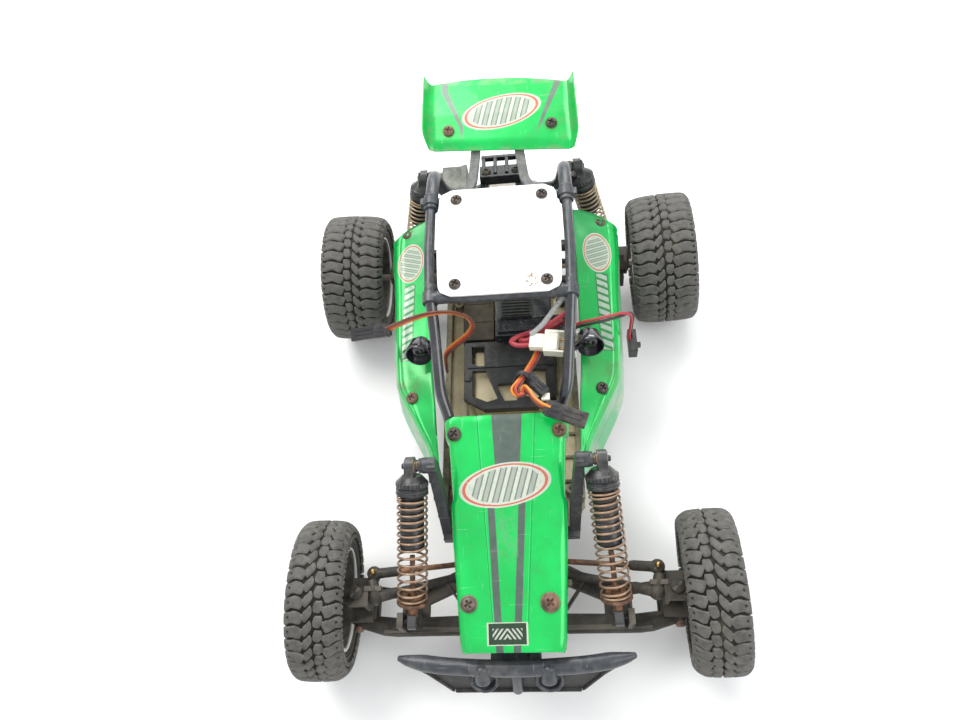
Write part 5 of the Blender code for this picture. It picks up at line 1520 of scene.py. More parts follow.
# ================================================================= bumper
def bumper(part):
    path = catmull([(-55.6, -129.8, 45.2), (-48, -131.4, 45.2), (-30, -133.7, 45.5),
                    (0, -135, 46), (30, -133.7, 45.5), (48, -131.4, 45.2),
                    (55.6, -129.8, 45.2)], 8)
    radii = []
    for p in path:
        to_end = max(0.05, (56.5 - abs(p[0])) / 13.0)
        radii.append(3.9 * min(1.0, max(0.35, to_end ** 0.45)))
    part.tube(path, radii, 26)
    for sign in (1, -1):
        x = sign * 15.5
        # a tilted ring with a lug up to the bar
        part.ring([(-3.4, 4.7), (-3.4, 6.3), (0.6, 6.9), (1.9, 6.7), (2.1, 6.0), (1.4, 5.2),
                   (-1.0, 4.8)], (x, -138.2, 35.6), (0, -0.74, 0.67), 44)
        part.tube([(x, -135.0, 48.6), (x, -139.2, 43.4)], [2.9, 4.1], 18)
        part.lathe([(0, 0), (0, 2.2), (1.2, 1.7), (1.2, 0.9), (0.7, 0.8), (0.7, 0)],
                   (x, -137.6, 47.6), (0, -0.62, 0.78), 20)
    part.tube([(0, -136.6, 43.0), (0, -142.2, 29.6)], 2.7, 18)
    part.box(-9, 9, -136, -120.3, 27.3, 31.5)
    part.box(-12, 12, -134.5, -120.3, 31, 42)
    for x in (-7, 0, 7):
        part.box(x - 0.6, x + 0.6, -134, -121, 41.5, 43.0)


def skid_plate(part):
    rows = []
    for t in np.linspace(0, 1, 9):
        half = 50.0 + (30.5 - 50.0) * t
        y = -131.0 + (-139.8 + 131.0) * t
        z = 43.0 + (27.0 - 43.0) * t
        rows.append([(-half, y, z), (half, y, z), (half - 0.4, y - 2.6, z + 0.9),
                     (-half + 0.4, y - 2.6, z + 0.9)])
    part.loft(rows)
    for sign in (1, -1):
        part.loft([[(sign * x - 0.7, y0, z), (sign * x + 0.7, y0, z), (sign * x + 0.7, y1, z),
                    (sign * x - 0.7, y1, z)]
                   for x, y0, y1, z in ((43, -136.2, -134, 41.6), (31, -143.2, -141, 28.9))])
    part.box(-30.4, 30.4, -143.4, -141.4, 26.9, 29.3)


solid("v_front_bumper", bumper, "cage", "front_bumper", True, smooth=42)
solid("v_skid_plate", skid_plate, "plate", "front_bumper", bevel=0.45, smooth=42)


# ================================================================= front tower
def front_tower_details(part):
    _, top_y, top_z = SHOCK_TOP["front"]
    for sign in (1, -1):
        axis = (sign, 0, 0)
        part.lathe([(0, 0), (0, 3.3), (0.3, 3.8), (6.4, 3.8), (6.9, 3.5), (7.0, 2.2), (7.1, 0)],
                   (sign * 32.6, top_y, top_z), axis, 32)
        part.lathe([(0, 0), (0, 1.35), (1.4, 1.35), (1.5, 2.9), (2.3, 2.9), (2.5, 1.4),
                    (8.8, 1.4), (9.2, 1.0), (9.2, 0)], (sign * 39.9, top_y, top_z), axis, 20)
        # ribs on the outer face of each upright
        for k in range(4):
            x = 33.2 + 0.9 * k
            part.loft([[(sign * (x - 1), y, z), (sign * (x + 0.9), y, z),
                        (sign * (x + 0.9), y + 0.9, z - 0.5), (sign * (x - 1), y + 0.9, z - 0.5)]
                       for y, z in ((-74.0 + 5.6 * k, 58 + 9 * k),
                                    (-67.0 + 5.6 * k, 63 + 9 * k))])


refine("front_shock_tower", "nylon", bevel=0.7, segments=3, extra=front_tower_details)


# ================================================================= tub and battery
def tub_details(part):
    """Side rims, floor ribs and hollow posts."""
    for sign in (1, -1):
        part.box(*sorted((sign * 35.2, sign * 38.3)), -50.5, 84.5, 34.8, 37.4)
    for y in (-38, -24, -10):
        part.box(-35.5, 35.5, y - 0.8, y + 0.8, 26.6, 29.4)
    for x, y in ((-31, -44), (31, -44), (-31.5, 79), (31.5, 79)):
        part.lathe([(0, 0), (0, 3.0), (7.5, 2.7), (7.6, 1.2), (5.5, 1.1), (5.5, 0)],
                   (x, y, 26.5), (0, 0, 1), 24)


def floor_dust(part):
    """Uneven beds of dry dust: x range, y range, depth."""
    columns, rows = 10, 70
    for x0, x1, y0, y1, depth in ((-35.6, -26.6, -44, 83.5, 1.0), (27.0, 35.6, -44, 83.5, 0.6),
                                  (-26.6, 27.0, -44, 44, 0.8)):
        bed = []
        for j in range(rows + 1):
            y = y0 + (y1 - y0) * j / rows
            row = []
            for i in range(columns + 1):
                x = x0 + (x1 - x0) * i / columns
                z = 27.25 + 0.5 * depth * (1 + math.sin(x * 0.7 + y * 0.31) * 0.5
                                           + math.sin(y * 0.83 - x * 0.5) * 0.35)
                if i in (0, columns) or j in (0, rows):
                    z = 26.8
                row.append((x, y, z))
            bed.append(row)
        part.grid(bed)


def tray_cover(part):
    part.prism([(-27.4, 47.5), (-9.0, 47.5), (-9.0, 86.0), (-27.4, 86.0)], 39.4, 41.4)
    part.box(-27.6, -26.2, 46.5, 86.0, 27.0, 40.6)
    part.box(-26.5, -9.5, 84.6, 86.2, 27.0, 41.2)
    for y in (60, 73):
        part.box(-25.6, -10.6, y - 0.35, y + 0.35, 41.2, 41.9)


HOLD_OUTLINE = ((-26.8, 46.2), (-26.8, 8.6), (-15.0, 1.2), (15.5, 1.2), (20.5, 5.6),
                (26.2, 11.2), (26.2, 46.2))
HOLD_WINDOWS = (
    ((-22.2, 43.0), (-22.2, 32.2), (-18.4, 30.0), (-15.0, 30.0), (-15.0, 43.0)),
    ((-21.8, 26.6), (-21.8, 10.6), (-13.4, 6.6), (-7.4, 8.4), (-14.0, 26.6)),
    ((-7.0, 17.6), (-7.0, 14.4), (-3.4, 6.8), (3.6, 6.8), (3.6, 17.6)),
    ((8.6, 26.0), (8.6, 9.2), (14.6, 7.4), (20.4, 11.4), (20.4, 26.0)))


def cut(obj, cutter):
    """Replace the object's mesh by itself less the cutter part."""
    tool = bpy.data.objects.new("cutter", cutter.finished_mesh())
    COLLECTION.objects.link(tool)
    modifier = obj.modifiers.new("cut", "BOOLEAN")
    modifier.object = tool
    modifier.solver = "EXACT"
    graph = bpy.context.evaluated_depsgraph_get()
    result = bpy.data.meshes.new_from_object(obj.evaluated_get(graph))
    obj.modifiers.clear()
    obj.data = result
    bpy.data.objects.remove(tool, do_unlink=True)


def battery_hold_down():
    obj = solid("v_battery_hold_down", lambda part: part.prism(HOLD_OUTLINE, 38.0, 40.8),
                "black", "battery_hold_down", True, bevel=0, smooth=35)
    cutter = Part()
    for window in HOLD_WINDOWS:
        cutter.prism(window, 30, 50)
    # a narrow groove across the top
    cutter.prism([(-24.4, 28.8), (-24.4, 28.2), (23.8, 28.2), (23.8, 28.8)], 40.2, 42)
    cut(obj, cutter)
    # legs, front lip and two bosses
    part = Part()
    for x0, x1 in ((-26, -23), (22.5, 25.5)):
        for y0, y1 in ((12, 18), (36, 42)):
            part.box(x0, x1, y0, y1, 27.3, 38.5)
    part.prism([(-15.2, 1.3), (15.6, 1.3), (15.2, 3.4), (-14.8, 3.4)], 37.0, 42.0)
    for x, y in ((-24.4, 22.0), (23.8, 30.0)):
        part.lathe([(0, 0), (0, 2.2), (1.0, 2.2), (1.2, 0)], (x, y, 40.6), (0, 0, 1), 20)
    part.move_to_world()
    part.bm.from_mesh(obj.data)
    part.recalculate()
    part.bm.to_mesh(obj.data)
    part.bm.free()
    shade(obj.data, 35)
    add_bevel(obj, 0.55, 3)


refine("chassis_tub", "tub", bevel=0.5, extra=tub_details)
solid("v_floor_dust", floor_dust, "sand_brightened", "chassis_tub", bevel=0, smooth=60)
solid("v_tray_cover", tray_cover, "tray", "battery_hold_down", bevel=0.6, segments=3)
battery_hold_down()
solid("v_battery_top", lambda part: part.box(-21.5, 21.0, 4.0, 43.5, 27.2, 34.6), "sand_brightened",
      "battery_hold_down", bevel=1.6, segments=4)


# ================================================================= electronics and drive
def speed_control(part):
    part.box(-8, 25.5, 45.6, 72, 27.3, 47.6)
    part.box(12.5, 33.0, 46.0, 60.0, 30.0, 45.8)
    part.box(-6.5, 23.8, 46.8, 56.5, 47.0, 50.6)
    for x in (-5.4, 22.8):
        part.box(x - 0.9, x + 0.9, 45.0, 47.0, 34, 44)


def speed_control_top(part):
    part.box(-4.2, 14.2, 55.2, 68.5, 47.2, 52.6)
    for k in range(6):
        y = 56.6 + k * 2.1
        part.box(-3.4, 13.4, y - 0.5, y + 0.5, 52.2, 53.4)


def servo_ribs(part):
    for k in range(5):
        y = -66 + k * 4.2
        part.box(-7.2, 7.2, y - 0.3, y + 0.3, 40.8, 43.5)


def case_details(part):
    for k in range(5):
        y = 97 + k * 6.0
        part.box(-13.6, 13.6, y - 0.6, y + 0.6, 30, 60.5)
    for x, y in ((-10.5, 94.5), (10.5, 94.5), (-10.5, 124.0), (10.5, 124.0)):
        part.lathe([(0, 0), (0, 2.2), (2.6, 2.2), (2.6, 1.0), (1.4, 0.9), (1.4, 0)],
                   (x, y, 59.0), (0, 0, 1), 20)


def motor(part):
    centre = (0, MOTOR_Y, 54.0)
    part.lathe([(-18.0, 0), (-18.0, 3.9), (-16.6, 4.3), (-16.5, 11.9), (-15.7, 12.7),
                (-13.0, 12.8), (-12.8, 12.3), (-12.2, 12.3), (-12.0, 12.8), (13.0, 12.8),
                (13.2, 12.2), (14.4, 12.2), (14.6, 12.8), (20.0, 12.7), (21.0, 11.8),
                (21.0, 4.6), (24.0, 4.4), (24.0, 1.2), (25.2, 1.1), (25.2, 0)],
               centre, (1, 0, 0), 56)
    part.lathe([(-26.2, 0), (-26.2, 0.8), (-25.9, 1.1), (-17.0, 1.1), (-17.0, 0)], centre,
               (1, 0, 0), 18)
    for angle in (0.6, 2.4):
        y, z = MOTOR_Y + 8.0 * math.cos(angle), 54 + 8.0 * math.sin(angle)
        part.box(20.8, 24.2, y - 1.6, y + 1.6, z - 0.4, z + 0.4)


def gear_point(radius, degrees):
    angle = math.radians(degrees)
    return GEAR_Y + radius * math.cos(angle), GEAR_Z + radius * math.sin(angle)


def gear_cover_details(part):
    """Round studs on the face and three rims round the wall."""
    for k in range(6):
        part.lathe([(0, 0), (0, 1.3), (0.7, 1.1), (0.7, 0)],
                   (-29.4, *gear_point(13.5, 95 + k * 32)), (-1, 0, 0), 16)
    outline = ([gear_point(17.9, a) for a in range(84, 277, 12)]
               + [gear_point(16.8, a) for a in range(276, 83, -12)])
    for k in range(3):
        x = -27.5 + 3.4 * k
        part.loft([[(at, *p) for p in outline] for at in (x, x + 0.9)])


def cover_trunk(part):
    """Ribbed box on the gear cover."""
    part.loft([[(-38.8, 134.8, 63.6), (-22, 134.8, 63.6), (-22, 155.8, 63.6),
                (-38.8, 155.8, 63.6)],
               [(-37.6, 136.2, 74.2), (-22.4, 136.2, 74.8), (-22.4, 154.8, 75.0),
                (-37.6, 150.0, 74.2)]])
    part.loft([[(-26.4, 135.0, 70), (-22.0, 135.0, 70), (-22.0, 156.0, 70), (-26.4, 156.0, 70)],
               [(-26.0, 136.0, 76.2), (-22.2, 136.0, 76.6), (-22.2, 155.2, 76.8),
                (-26.0, 154.4, 76.4)]])
    for y in (135.4, 144.6, 146.4, 151.6):
        part.box(-38.0, -26.0, y - 0.5, y + 0.5, 70.0, 75.3)
    part.box(-38.9, -37.6, 135.0, 150.6, 66.0, 75.4)


solid("v_speed_control", speed_control, "cage_gloss", "speed_control", True, bevel=0.9,
      segments=3)
solid("v_speed_control_top", speed_control_top, "pcb", "speed_control", bevel=0.3)
refine("steering_servo", "black", bevel=0.5, extra=servo_ribs)
refine("servo_horn", "white")
refine("steering_link", "nylon", bevel=0.45)
refine("transmission_case", "nylon", bevel=0.5, extra=case_details)
solid("v_motor", motor, "motorcan", "motor", True, bevel=0.2, smooth=38)
refine("spur_gear", "gear", bevel=0.12, segments=1)
refine("pinion_gear", "brass", bevel=0.10, segments=1)
refine("gear_cover", "cover", bevel=0.45, extra=gear_cover_details)
solid("v_cover_trunk", cover_trunk, "cover", "gear_cover", bevel=0.45)
refine("switch_housing", "black", bevel=0.4)
refine("switch_slider", "black", bevel=0.25)


# ================================================================= suspension
TIE_INNER, TIE_OUTER = (11, -85.5, 49), (70, -90, 47)


def link_ends(inner, outer, sign):
    """Both ends of a link on one side, and the direction from inner to outer."""
    start, end = Vector(mirrored(inner, sign)), Vector(mirrored(outer, sign))
    return start, end, (end - start).normalized()


def front_arm_details(part, sign):
    """Thick front flange, a rear rib and webs between."""
    part.tube([(sign * 16, -114.2, 31.2), (sign * 60, -114.2, 31.8), (sign * 66, -113.6, 31.8),
               (sign * 77.5, -110.4, 31.2)], [3.5, 3.7, 3.7, 3.4], 18)
    part.loft([[(sign * x, y0, z0), (sign * x, y1, z0), (sign * x, y1, z1), (sign * x, y0, z2)]
               for x, y0, y1, z0, z1, z2 in ((20, -114, -108.6, 27.6, 34.8, 35.6),
                                             (58, -114, -109.4, 27.6, 34.8, 35.6),
                                             (74, -111.6, -107.6, 28.4, 33.6, 34.2))])
    part.loft([[(sign * x, y0, 32.0), (sign * x, y1, 32.0), (sign * x, y1, z), (sign * x, y0, z)]
               for x, y0, y1, z in ((22, -84.0, -82.4, 35.0), (48, -97.8, -96.2, 35.4),
                                    (73, -94.9, -93.3, 34.2))])
    for x0, y0, x1, y1 in ((47, -113.5, 50, -97.0), (56.6, -113, 56.6, -97.5),
                           (21, -112, 36, -91), (71.5, -109.5, 71.5, -94)):
        part.web((sign * x0, y0), (sign * x1, y1), 0.7, 29, 34.6, 34.0)


def hinge_pin(part, sign):
    part.lathe([(-1.0, 0), (-1.0, 2.5), (0.6, 2.5), (1.1, 1.9), (1.2, 0.7), (0.8, 0.4),
                (0.8, 0)], (sign * 80, -114.0, 31), (0, -1, 0), 24)
    part.lathe([(0, 0), (0, 2.3), (0.8, 2.2), (1.2, 1.5), (1.2, 0)], (sign * 80, -90.0, 31),
               (0, 1, 0), 24)


def castor_details(part, sign):
    part.lathe([(0, 0), (0, 2.4), (1.4, 2.9), (6.5, 2.7), (7.4, 2.2), (7.4, 0)],
               (sign * 70.8, -93.4, 47.8), (sign * -2.5, -8.0, 0), 24)
    part.lathe([(0, 0), (0, 3.6), (2.6, 3.4), (3.2, 2.4), (3.2, 0)], (sign * 78, -100, 48.8),
               (0, 0, 1), 28)


def spindle_details(part, sign):
    part.lathe([(0, 0), (0, 2.0), (1.2, 1.9), (1.2, 0)], (sign * 70, -90, 43.2), (0, 0, 1), 24)


def front_camber_link(part, sign):
    start, end, along = link_ends((26, -91, 42.5), (68.3, -101.9, 48), sign)
    part.tube([start + along * 2.0, start + along * 4.5, start + along * 6.0, end - along * 12.0,
               end - along * 10.4, end - along * 4.8, end - along * 1.5],
              [2.6, 2.5, 2.05, 2.15, 2.6, 2.7, 2.9], 20)
    for centre, radius in ((start, 3.3), (end, 3.9)):
        part.lathe(ball_profile(radius), centre, (0, 1, 0), 28)
    part.lathe([(-3.7, 0), (-3.7, 1.5), (-3.2, 1.9), (-3.2, 0)], end, (0, 1, 0), 18)


def tie_rod(part, sign):
    start, end, along = link_ends(TIE_INNER, TIE_OUTER, sign)
    part.tube([start + along * 9.0, end - along * 8.0], 1.35, 16)


def tie_ends(part, sign):
    start, end, along = link_ends(TIE_INNER, TIE_OUTER, sign)
    part.tube([start + along * 1.0, start + along * 4.0, start + along * 10.5],
              [2.6, 2.3, 2.1], 18)
    part.tube([end - along * 13.0, end - along * 11.5, end - along * 5.0, end - along * 1.0],
              [2.2, 2.5, 2.5, 2.7], 18)
    part.lathe([(-2.2, 0), (-2.2, 2.9), (-1.6, 3.2), (1.6, 3.2), (2.2, 2.9), (2.2, 0)], start,
               (0, 1, 0), 28)
    part.lathe([(-1.7, 0), (-1.7, 3.0), (-1.2, 3.5), (1.4, 3.5), (2.2, 2.9), (2.5, 1.8),
                (2.5, 0)], (end.x, end.y, 47.2), (0, 0, 1), 30)


def steer_ball(part, sign):
    part.lathe(ball_profile(1.5, 10, centre=3.9), (sign * 70, -90, 47.3), (0, 0, 1), 20)


def rear_arm_details(part, sign):
    for x0, y0, x1, y1 in ((23.5, 97, 46.5, 117.5), (46.8, 97, 23.5, 120.5)):
        part.web((sign * x0, y0), (sign * x1, y1), 0.8, 28.5, 32.2, 32.2)
    for y0, y1 in ((92.2, 94.4), (119.2, 121.2)):
        part.box(*sorted((sign * 32, sign * 60)), y0, y1, 31.5, 35.2)


def hub_details(part, sign):
    part.lathe([(0, 3.1), (0, 5.4), (0.5, 5.9), (8.0, 5.9), (8.6, 5.4), (8.6, 3.1)],
               (sign * 65.8, 100, 39), (sign, 0, 0), 36)


def rear_camber_link(part, sign):
    start, end, along = link_ends((22, 90, 58), (64, 90, 53), sign)
    part.tube([start + along * 2, start + along * 10, start + along * 11, end - along * 11,
               end - along * 10, end - along * 2], [2.3, 2.2, 1.6, 1.6, 2.2, 2.3], 18)
    for centre in (start, end):
        part.lathe([(-2.0, 0), (-2.0, 2.8), (-1.4, 3.3), (1.4, 3.3), (2.0, 2.8), (2.0, 0)],
                   centre, (0, 1, 0), 28)


def driveshaft(part, sign):
    part.lathe([(14.9, 0), (14.9, 3.1), (15.3, 3.4), (20.6, 3.4), (21.2, 3.0), (21.6, 2.2),
                (23.0, 2.1), (23.2, 1.9), (52.0, 1.9), (52.2, 2.2), (55.5, 2.3), (56.2, 2.7),
                (60.4, 3.5), (64.2, 3.6), (64.6, 3.2), (64.6, 0)], (0, 100, 39), (sign, 0, 0), 32)
    for x in (18.0, 62.4):
        part.lathe([(-3.75, 0), (-3.75, 0.9), (3.75, 0.9), (3.75, 0)], (sign * x, 100, 39),
                   (0, 0, 1), 14)


def build_corner(side, sign):
    """Front and rear links and arms on one side."""
    def refined(node, material, details, **options):
        refine(f"{node}_{side}", material, extra=partial(details, sign=sign), **options)

    def moving(name, build, material, node, **options):
        solid(f"v_{name}_{side}", partial(build, sign=sign), material, f"{node}_{side}",
              body=f"{node}_{side}", **options)

    refined("front_arm", "arm", front_arm_details, bevel=0.6, segments=3)
    moving("hinge_pin_front", hinge_pin, "screw_rust", "front_castor_block", bevel=0, smooth=35)
    refined("front_castor_block", "arm", castor_details, bevel=0.6, segments=3)
    refined("front_spindle", "link", spindle_details, bevel=0.45)
    moving("camber_front", front_camber_link, "arm", "front_camber_link", replaces=True,
           bevel=0, smooth=50)
    moving("tie_rod", tie_rod, "rusty", "tie_rod", bevel=0, smooth=50)
    moving("tie_ends", tie_ends, "arm", "tie_rod", replaces=True, bevel=0.2)
    moving("steer_ball", steer_ball, "brass", "tie_rod", bevel=0, smooth=50)
    refined("rear_arm", "arm", rear_arm_details, bevel=0.6, segments=3)
    refined("rear_hub_carrier", "arm", hub_details, bevel=0.6, segments=3)
    moving("camber_rear", rear_camber_link, "link", "rear_camber_link", replaces=True, bevel=0.2)
    moving("driveshaft", driveshaft, "copper_shaft", "driveshaft", replaces=True, bevel=0.1,
           segments=1, smooth=38)


for side, sign in SIDES:
    build_corner(side, sign)


# ================================================================= shocks and springs
X_AXIS = Vector((1, 0, 0))


def shock_body(part, shock):
    """Ringed cylinder with a grooved collar and a round-ended eye lug at the top."""
    def knurl(angle, along, radius):
        return 1.0 + (0.022 * math.cos(angle * 26) if 7.6 < along < 9.6 and radius > 7 else 0.0)

    end = shock.body_length
    part.lathe([
        (4.4, 0), (4.4, 4.6), (5.2, 5.4), (6.6, 6.7), (7.0, 7.1), (7.3, 7.55), (7.7, 7.7),
        (9.5, 7.7), (9.8, 7.1), (10.3, 7.1), (10.5, 7.75), (11.4, 7.75), (11.6, 7.2),
        (12.0, 7.2), (12.2, 7.8), (13.4, 7.8), (13.8, 7.2), (13.9, 5.9), (14.6, 5.75),
        (end - 4.5, 5.75), (end - 4.2, 5.95), (end - 0.6, 5.95), (end, 5.5), (end, 2.1),
        (end - 0.8, 1.75), (15.2, 1.75), (15.2, 0)], shock.top, shock.axis, 104, knurl)
    for along in np.arange(17.0, end - 6, 3.2):
        part.lathe([(along, 5.4), (along + 0.1, 5.92), (along + 0.5, 5.92), (along + 0.6, 5.4)],
                   shock.top, shock.axis, 44)
    outline = half_round(shock.across, -shock.axis, 4.3)
    outline += [shock.across * out + shock.axis * along
                for out, along in ((-4.3, 2.5), (-5.2, 5.4), (5.2, 5.4), (4.3, 2.5))]
    part.loft([[shock.top + p + X_AXIS * (x * shock.sign) for p in outline]
               for x in (-1.3, 3.2)])


def shock_ball(part, shock):
    sign = shock.sign
    part.lathe(ball_profile(2.75), shock.top - Vector((sign * 1.9, 0, 0)), (1, 0, 0), 28)
    part.lathe([(1.2, 0), (1.2, 1.7), (5.0, 1.7), (5.2, 1.3), (5.2, 0)], shock.top,
               (-sign, 0, 0), 24)


def shock_rings(part, shock):
    sign = shock.sign
    part.ring([(3.0, 1.8), (3.0, 3.4), (3.5, 3.2), (3.5, 2.0)], shock.top, (sign, 0, 0), 28)
    part.ring([(1.1, 2.7), (1.1, 3.9), (1.6, 3.7), (1.6, 2.8)], shock.top, (-sign, 0, 0), 28)


def shock_rod(part, shock):
    start, end = shock.spring_low - 22.0, shock.length - 5.2
    part.lathe([(start, 0), (start, 1.3), (end, 1.3), (end, 0)], shock.top, shock.axis, 20)


def spring_seat(part, shock):
    base = shock.spring_low
    part.lathe([(base + along, radius) for along, radius in (
        (0.3, 1.2), (-2.2, 2.6), (-2.4, 5.0), (0.1, 5.4), (0.35, 7.3), (0.7, 7.75),
        (1.6, 7.75), (2.1, 7.3), (2.3, 6.2), (3.4, 4.0), (3.6, 1.2))],
        shock.top, shock.axis, 44)
    part.tube([shock.at(base + 2.4), shock.at(shock.length - 3.0)], [2.5, 2.4], 16)


def lower_eye(part, shock):
    outline = half_round(shock.across, shock.axis, 4.2)
    outline += [shock.across * -3.4 - shock.axis * 4.2, shock.across * 3.4 - shock.axis * 4.2]
    part.loft([[shock.low + p + X_AXIS * x for p in outline] for x in (-2.1, 2.1)])
    part.lathe([(-2.5, 0), (-2.5, 2.3), (-2.0, 2.6), (2.0, 2.6), (2.5, 2.3), (2.5, 0)],
               shock.low, (1, 0, 0), 24)


def build_spring(shock, node, body, shaft, turns, wire_radius, material):
    """Coil with closed ends from the body down to the spring seat on the shaft."""
    coil_radius, per_turn, closed = 7.0, 40, 0.9
    across, up, axis = axes_for(shock.axis)
    start, end = 14.5 + wire_radius, shock.spring_low + 0.25 - wire_radius
    closed_pitch = 2 * wire_radius * 1.08
    free = (end - start) - 2 * closed * closed_pitch
    steps = int(turns * per_turn)
    path = []
    for i in range(steps + 1):
        turn = i / steps * turns
        if turn < closed:
            along = start + turn * closed_pitch
        elif turn > turns - closed:
            along = end - (turns - turn) * closed_pitch
        else:
            t = (turn - closed) / (turns - 2 * closed)
            along = start + closed * closed_pitch + free * (0.88 * t + 0.12 * t * t)
        angle = 2 * math.pi * turn + (0.5 if shock.sign > 0 else 2.2)
        path.append(shock.top + axis * along
                    + (across * math.cos(angle) + up * math.sin(angle)) * coil_radius)
    part = Part()
    part.tube(path, wire_radius, 10)
    obj = add_object(part.finished_mesh(), "v_" + node, material, node, True, body=None,
                     smooth=None)
    tuple(to_world(shock.at(start + 0.5)))
    tuple(to_world(shock.at(end - 0.5)))
    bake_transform(obj)


def build_shock(axle, side, sign, body_length, spring_low, metal, end_metal, **spring):
    """spring_low maps the length between the eyes to the spring's lower end."""
    top = Vector(mirrored(SHOCK_TOP[axle], sign))
    low = Vector(mirrored(SHOCK_LOW[axle], sign))
    length = (top - low).length
    axis = (low - top) / length
    shock = SimpleNamespace(
        sign=sign, top=top, low=low, length=length, axis=axis, body_length=body_length,
        across=axis.cross(X_AXIS).normalized(), spring_low=spring_low(length),
        at=lambda along: top + axis * along)
    body, shaft = f"{axle}_shock_body_{side}", f"{axle}_shock_shaft_{side}"

    def piece(suffix, build, material, node, bevel=0, smooth=45, **options):
        solid(f"v_{node}{suffix}", partial(build, shock=shock), material, node, body=node,
              bevel=bevel, smooth=smooth, **options)

    piece("", shock_body, "shockblack", body, bevel=0.22, smooth=38, replaces=True)
    piece("_ball", shock_ball, "brass", body)
    piece("_ring", shock_rings, "shockblack", body)
    piece("_rod", shock_rod, metal, shaft)
    piece("_seat", spring_seat, end_metal, shaft, bevel=0.15, smooth=40)
    piece("_eye", lower_eye, "shockblack", shaft, bevel=0.35, smooth=40, replaces=True)
    build_spring(shock, f"{axle}_spring_{side}", body, shaft, **spring)


for side, sign in SIDES:
    build_shock("front", side, sign, body_length=41.0, spring_low=lambda length: 66.3,
                metal="rusty", end_metal="rusty", turns=15.4, wire_radius=0.56,
                material="spring")
    build_shock("rear", side, sign, body_length=32.0, spring_low=lambda length: length - 9.5,
                metal="steel", end_metal="shockblack", turns=12.4, wire_radius=0.60,
                material="spring_r")


# ================================================================= wires and plugs
def tube_object(name, path, material, radius, sides, slot="speed_control"):
    part = Part()
    part.tube(path, radius, sides)
    add_object(part.finished_mesh(), name, material, slot, smooth=60)


def wire(name, points, material, radius, slot="speed_control"):
    tube_object(name, catmull(points, 8), material, radius, 14, slot)


def ribbon(prefix, points, radius, per, up, twist):
    """Three insulated wires side by side, turning with the path."""
    materials = ("wire_orange", "wire_redlead", "wire_brown")
    path = catmull(points, per)
    last = len(path) - 1
    strands = [[] for _ in materials]
    side_axis = None
    for i, centre in enumerate(path):
        along = (path[min(i + 1, last)] - path[max(i - 1, 0)]).normalized()
        if side_axis is None:
            side_axis = along.cross(Vector(up))
        # carried along the path without spinning
        side_axis = side_axis - along * side_axis.dot(along)
        side_axis.normalize()
        angle = twist(i / last)
        across = side_axis * math.cos(angle) + along.cross(side_axis) * math.sin(angle)
        for k, strand in enumerate(strands):
            strand.append(centre + across * ((k - 1) * radius * 1.85))
    for k, material in enumerate(materials):
        tube_object(f"{prefix}_{k}", strands[k], material, radius, 12)


def plug_placer(start, along, roll):
    """Maps (along, across, up) measured from start to fit coordinates."""
    across = along.cross(Vector(roll)).normalized()
    up = across.cross(along).normalized()
    return lambda local: start + along * local[0] + across * local[1] + up * local[2]


def plug(name, start, end, roll, width, height):
    """Three-way plug from its wire end to its open end: ridged shell with square holes."""
    start, end = Vector(start), Vector(end)
    length = (end - start).length
    place = plug_placer(start, (end - start).normalized(), roll)
    half_w, half_h = width / 2, height / 2
    inner_w, inner_h = half_w - 0.15, half_h - 0.1

    def build(part):
        part.box(0.0, length * 0.36, -half_w, half_w, -half_h, half_h, place)
        part.box(length * 0.34, length - 1.2, -inner_w, inner_w, -inner_h, inner_h, place)
        # walls round the holes
        part.box(length - 1.6, length, -inner_w, inner_w, half_h - 0.85, inner_h, place)
        part.box(length - 1.6, length, -inner_w, inner_w, -inner_h, -half_h + 0.85, place)
        for wall in (-inner_w, -half_w * 0.42, half_w * 0.26, half_w - 0.75):
            part.box(length - 1.6, length, wall, wall + 0.6, -inner_h, inner_h, place)
        for k in (-1, 0, 1):
            centre = k * width * 0.31
            part.box(length * 0.40, length - 2.2, centre - 0.85, centre + 0.85, half_h - 0.2,
                     half_h + 0.28, place)
            part.box(length * 0.10, length * 0.30, centre - 0.75, centre + 0.75, half_h - 0.2,
                     half_h + 0.25, place)
        part.box(-1.4, 0.3, -half_w * 0.86, half_w * 0.86, -half_h * 0.8, half_h * 0.8, place)

    solid(name, build, "wire_black", "speed_control", bevel=0.2, smooth=38)


# ---- lead and plug over the right side panel
ribbon("lead_right", [
    (-33.6, 16.0, 62.0), (-32.6, 20.4, 72.0), (-27.5, 21.6, 79.0), (-22.0, 22.8, 83.5),
    (-17.6, 24.1, 88.0), (-15.6, 25.2, 93.0), (-17.2, 26.6, 98.0), (-22.0, 27.2, 102.0),
    (-29.0, 26.7, 104.6), (-37.0, 25.8, 105.2), (-46.6, 26.8, 100.0), (-56.3, 28.7, 92.0),
    (-62.2, 29.2, 87.6)], radius=0.66, per=9, up=(0, 0.2, 1), twist=lambda t: -0.9 + 1.3 * t)
plug("plug_right", (-61.6, 29.1, 87.2), (-83.3, 31.1, 80.6), roll=(0, -0.45, 1), width=7.2,
     height=3.4)

# ---- two-way connector left of the middle
CONNECTOR_AXIS = (Vector((37.5, 13.4, 87.6)) - Vector((14.0, 17.2, 86.6))).normalized()
in_connector = plug_placer(Vector((13.6, 17.4, 86.4)), CONNECTOR_AXIS, (0, -0.12, 1))
